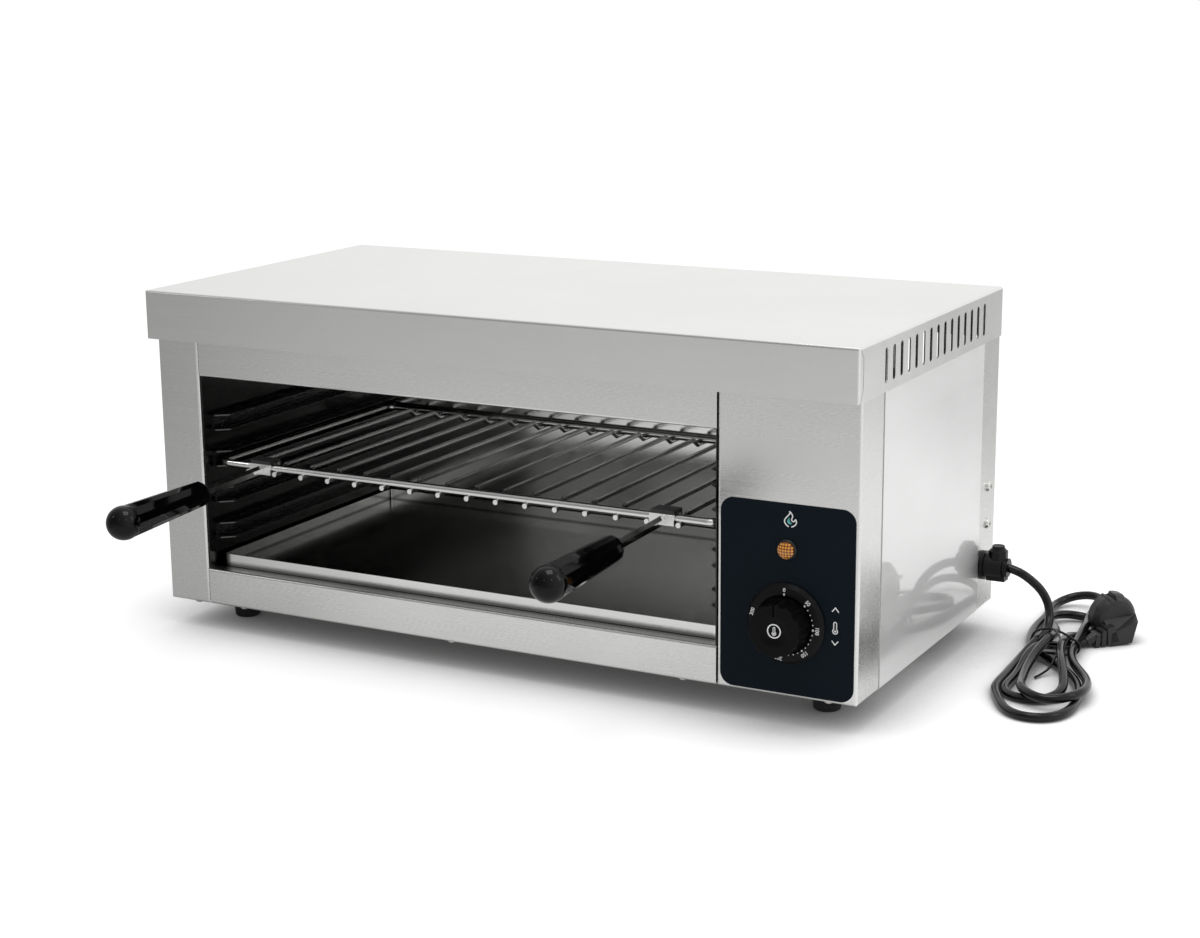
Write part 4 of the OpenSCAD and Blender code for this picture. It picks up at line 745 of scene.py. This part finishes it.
def stroke(points, width):
    """Closed outline of a line of even width with square ends."""
    left, right = [], []
    for k, (u, v) in enumerate(points):
        a = Vector(points[max(k - 1, 0)])
        b = Vector(points[min(k + 1, len(points) - 1)])
        along = (b - a).normalized()
        side = Vector((-along.y, along.x)) * width / 2
        here = Vector((u, v))
        if 0 < k < len(points) - 1:
            bend = (here - a).normalized().dot((b - here).normalized())
            side /= max(math.sqrt((1 + bend) / 2), 0.5)
        left.append(tuple(here + side))
        right.append(tuple(here - side))
    return left + right[::-1]


def arc(u, v, radius, start, end, steps):
    """Points along an arc between two angles in degrees."""
    return [(u + radius * math.cos(math.radians(start + (end - start) * k / steps)),
             v + radius * math.sin(math.radians(start + (end - start) * k / steps)))
            for k in range(steps + 1)]


def curved(points, steps=6):
    """Catmull-Rom line through points in a plane."""
    route = smooth_route([(u, v, 0.0) for u, v in points], steps)
    return [(p.x / MM, p.y / MM) for p in route]


# Heat sign over the lamp: an open flame outline with a small solid flame inside it.
FLAME_SIDES = {
    "right": [(3.0, -4.2), (4.6, -3.6), (6.2, -2.3), (6.9, -0.6), (6.7, 0.7), (6.1, 1.7)],
    "middle": [(6.0, 1.5), (5.7, 0.6), (4.8, -0.1), (3.9, 0.0), (3.3, 0.8), (3.4, 1.9), (4.0, 3.4),
               (3.6, 4.7), (2.7, 5.9), (1.7, 6.9)],
    "left": [(1.1, -4.2), (-0.5, -3.3), (-1.8, -1.7), (-2.1, -0.3), (-1.6, 1.3), (0.1, 3.3),
             (1.6, 5.0), (2.0, 5.9), (1.5, 7.0)],
}
FLAME_HEART = [(1.7, 2.6), (1.5, 1.5), (1.8, 0.1), (2.4, -1.0), (3.5, -1.6), (2.1, -2.4),
               (0.8, -2.0), (-0.1, -0.8), (0.1, 0.6), (1.0, 1.9)]
FLAME_Z = LAMP_Z + 21.0
FLAME_LINE = 0.85
# Each line of the flame is a little thicker than the last, so that their faces never coincide.
FLAME_STEP = 0.02
for k, (side, line) in enumerate(FLAME_SIDES.items()):
    printed("flame_" + side, [stroke(curved(line), FLAME_LINE)], CONTROL_X, FLAME_Z, LABEL_Y,
            WHITE_PRINT, thick=INK + FLAME_STEP * k)
printed("flame_heart", [curved(FLAME_HEART + FLAME_HEART[:1])[:-1]], CONTROL_X, FLAME_Z,
        LABEL_Y, TEAL_PRINT)

# Temperature sign right of the dial: a thermometer between two chevrons.
SIGN_X = CONTROL_X + 37.2
CHEVRON_LINE = 0.8


def thermometer(bulb, stem, top, width):
    """Outline of a thermometer: bulb below, stem with a round top, as two nested loops."""
    loops = []
    for inset in (0.0, width):
        reach = stem - inset
        start = math.degrees(math.asin(reach / (bulb - inset)))
        around = arc(0, 0, bulb - inset, 90 + start, 450 - start, 32)
        loops.append(around + arc(0, top, reach, 0, 180, 12))
    return loops


printed("thermometer_sign", thermometer(2.2, 1.45, 5.6, 0.75) + [circle(0, 0, 0.8, 20)],
        SIGN_X, DIAL_Z - 1.0, LABEL_Y, WHITE_PRINT)
printed("hotter_sign", [stroke([(-2.5, -1.6), (0.0, 1.4), (2.5, -1.6)], CHEVRON_LINE)],
        SIGN_X, DIAL_Z + 14.8, LABEL_Y, WHITE_PRINT)
printed("cooler_sign", [stroke([(-2.4, 1.5), (0.0, -1.3), (2.4, 1.5)], CHEVRON_LINE)],
        SIGN_X, DIAL_Z - 9.6, LABEL_Y, WHITE_PRINT)

# Scale: a dot and a number at each mark, clockwise from the top, and small dots between them.
# Number and its angle in degrees.
SCALE = {"0": 0.0, "50": 45.0, "100": 93.0, "150": 141.0, "200": 189.0, "250": 237.0,
         "300": 285.0}
RING_Y = LABEL_Y - RING_FACE
DOT_R = 22.3
MARK_DOT = 0.72
SMALL_DOT = 0.45
DOTS_BETWEEN = 4
DOT_THICK = 0.3
NUMBER_R = 25.3
NUMBER_SIZE = 3.9
NUMBER_THICK = 0.00018
NUMBER_BOLDER = 0.00006
NUMBER_SUNK = 0.1


def at_angle(radius, angle):
    """Place on the dial, clockwise from the top."""
    turn = math.radians(angle)
    return CONTROL_X + radius * math.sin(turn), DIAL_Z + radius * math.cos(turn)


dots = [circle(*at_angle(DOT_R, angle), MARK_DOT, 16) for angle in SCALE.values()]
marks = sorted(SCALE.values())[1:]
for low, high in zip(marks, marks[1:]):
    for part in range(1, DOTS_BETWEEN + 1):
        between = low + (high - low) * part / (DOTS_BETWEEN + 1)
        dots.append(circle(*at_angle(DOT_R, between), SMALL_DOT, 12))
printed("scale_dots", dots, 0.0, 0.0, RING_Y, WHITE_PRINT, thick=DOT_THICK)

for label, angle in SCALE.items():
    text = bpy.data.curves.new("number_" + label, "FONT")
    text.body = label
    text.size = NUMBER_SIZE * MM
    text.align_x = "CENTER"
    text.align_y = "CENTER"
    text.extrude = NUMBER_THICK
    text.offset = NUMBER_BOLDER
    x, z = at_angle(NUMBER_R, angle)
    pressed("scale_number_" + label, text,
            Matrix.Translation((x * MM, (RING_Y + NUMBER_SUNK) * MM, z * MM))
            @ Matrix.Rotation(math.radians(angle), 4, "Y")
            @ Matrix.Rotation(math.radians(90), 4, "X"), WHITE_PRINT, "casing")

# Sign on the knob: a thermometer in a ring, printed on the dished face. The bulb sits below the
# ring's centre, and the print is thick enough to reach into the dish all round.
KNOB_DISH = -84.15
KNOB_BULB = -1.7
KNOB_PRINT = 0.6
knob_sign = [circle(0, 0, 5.3), circle(0, 0, 4.4)]
knob_sign += [[(u, v + KNOB_BULB) for u, v in loop] for loop in thermometer(1.65, 0.95, 3.9, 0.5)]
knob_sign.append(circle(0, KNOB_BULB, 0.75, 20))
printed("knob_sign", knob_sign, CONTROL_X, DIAL_Z, KNOB_DISH, WHITE_PRINT, body="knob",
        thick=KNOB_PRINT)

# ---------- Studio ----------

WHITE = (1.0, 1.0, 1.0, 1.0)
SOFT_LIGHT = 0.66
TO_FRONT = (-0.42, -0.88, 0.0)
TO_LEFT = (-0.94, -0.33, 0.0)


def seen_directly(w):
    """1 for rays that reach the eye straight or through glass, and the ray's other kinds."""
    path = w.add("ShaderNodeLightPath").outputs
    return w.math("MAXIMUM", path["Is Camera Ray"], path["Is Transmission Ray"]), path


def world_light():
    """White room for the eye, even soft light, and reflections that dim to the front and left."""
    world = bpy.data.worlds.new("studio_world")
    bpy.context.scene.world = world
    world.use_nodes = True
    w = Wiring(world.node_tree)
    background = world.node_tree.nodes["Background"]
    way = w.add("ShaderNodeTexCoord").outputs["Generated"]
    front = w.spread(w.reach(way, TO_FRONT), low=1.0, high=0.42, start=-0.1, end=0.8)
    left = w.spread(w.reach(way, TO_LEFT), low=1.0, high=0.6, start=0.2, end=0.85)
    seen, path = seen_directly(w)
    soft = w.choose(path["Is Glossy Ray"], SOFT_LIGHT, w.math("MULTIPLY", front, left))
    w.tree.links.new(w.choose(seen, soft, 1.0), background.inputs["Strength"])
    background.inputs["Color"].default_value = WHITE


def softbox(name, place, aim, size, power):
    """Rectangular lamp that faces a point."""
    lamp = bpy.data.lights.new(name, "AREA")
    lamp.shape = "RECTANGLE"
    lamp.size, lamp.size_y = size
    lamp.energy = power
    holder = bpy.data.objects.new(name, lamp)
    holder.location = place
    holder.rotation_euler = (Vector(aim) - Vector(place)).to_track_quat("-Z", "Y").to_euler()
    bpy.context.scene.collection.objects.link(holder)


FLOOR_HALF = 8.0
SHADOW_REACH = 0.10
# White that the open floor shows to the eye, and how much of its tone that takes back.
FLOOR_WHITE = 1.05
TONE_SHARE = 0.70


def counter():
    """Pale matt floor that reads as white away from its shadow; occlusion adds painted shadow near
    the object, and the floor has a painted glow in reflections.
    """
    mesh = bpy.data.meshes.new("studio_floor")
    shape = bmesh.new()
    bmesh.ops.create_grid(shape, x_segments=4, y_segments=4, size=FLOOR_HALF)
    shape.to_mesh(mesh)
    shape.free()
    floor = bpy.data.objects.new("studio_floor", mesh)
    bpy.context.scene.collection.objects.link(floor)
    material = bpy.data.materials.new("studio_floor")
    material.use_nodes = True
    tree = material.node_tree
    tree.nodes.clear()
    w = Wiring(tree)
    place = w.add("ShaderNodeTexCoord").outputs["Object"]

    # Painted shade: darker to the left and far in front, for the front's steel to mirror.
    rightward = w.spread(w.reach(place, (0.78, -0.63, 0.0)), low=0.46, high=0.88,
                         start=-0.17, end=-0.02)
    forward = w.spread(w.reach(place, (-0.35, -0.94, 0.0)), low=1.0, high=0.74,
                       start=0.35, end=0.80)
    tone = w.math("MULTIPLY", rightward, forward)
    # Painted shadow: occlusion near the object darkens the floor's colour.
    open_floor = w.add("ShaderNodeAmbientOcclusion", {"Distance": SHADOW_REACH},
                       samples=8).outputs["AO"]
    shaded = w.spread(open_floor, low=0.30, high=1.0, start=0.30, end=0.85)
    matt = w.add("ShaderNodeBsdfDiffuse", {"Color": w.math("MULTIPLY", tone, shaded)})

    # For the eye the darker tones are lifted again, so that the open floor reads as white; near the
    # object occlusion takes the lift away as painted shadow.
    seen, path = seen_directly(w)
    given_back = w.math("SUBTRACT", FLOOR_WHITE, w.math("MULTIPLY", tone, TONE_SHARE))
    lifted = w.math("MULTIPLY", seen, w.math("MULTIPLY", given_back, open_floor))
    # Painted reflection: the floor glows only in reflections, more towards the back.
    backward = w.spread(w.reach(place, (0.6, 0.8, 0.0)), low=0.07, high=0.20,
                        start=-0.2, end=0.3)
    mirrored = w.math("MULTIPLY", path["Is Glossy Ray"], backward)
    glow = w.add("ShaderNodeEmission", {"Strength": w.math("ADD", lifted, mirrored)})
    both = w.add("ShaderNodeAddShader", {0: matt.outputs[0], 1: glow.outputs[0]})
    w.add("ShaderNodeOutputMaterial", {"Surface": both.outputs[0]})
    mesh.materials.append(material)


world_light()
counter()
softbox("overhead_softbox", (0.25, -0.15, 1.7), (0.05, 0.05, 0.1), (0.8, 0.8), 6.5)
softbox("right_softbox", (1.5, 0.3, 1.1), (0.1, 0.05, 0.1), (0.5, 0.9), 2.0)
# Small lamps that only leave highlights on the grips and the rack.
for name, place in (("left_window", (-1.1, -0.9, 0.9)), ("front_window", (0.1, -1.9, 1.3)),
                    ("right_window", (1.0, -0.9, 1.0))):
    softbox(name, place, (0.0, -0.2, 0.14), (0.08, 0.15), 0.35)
bpy.context.scene.view_settings.view_transform = "Standard"
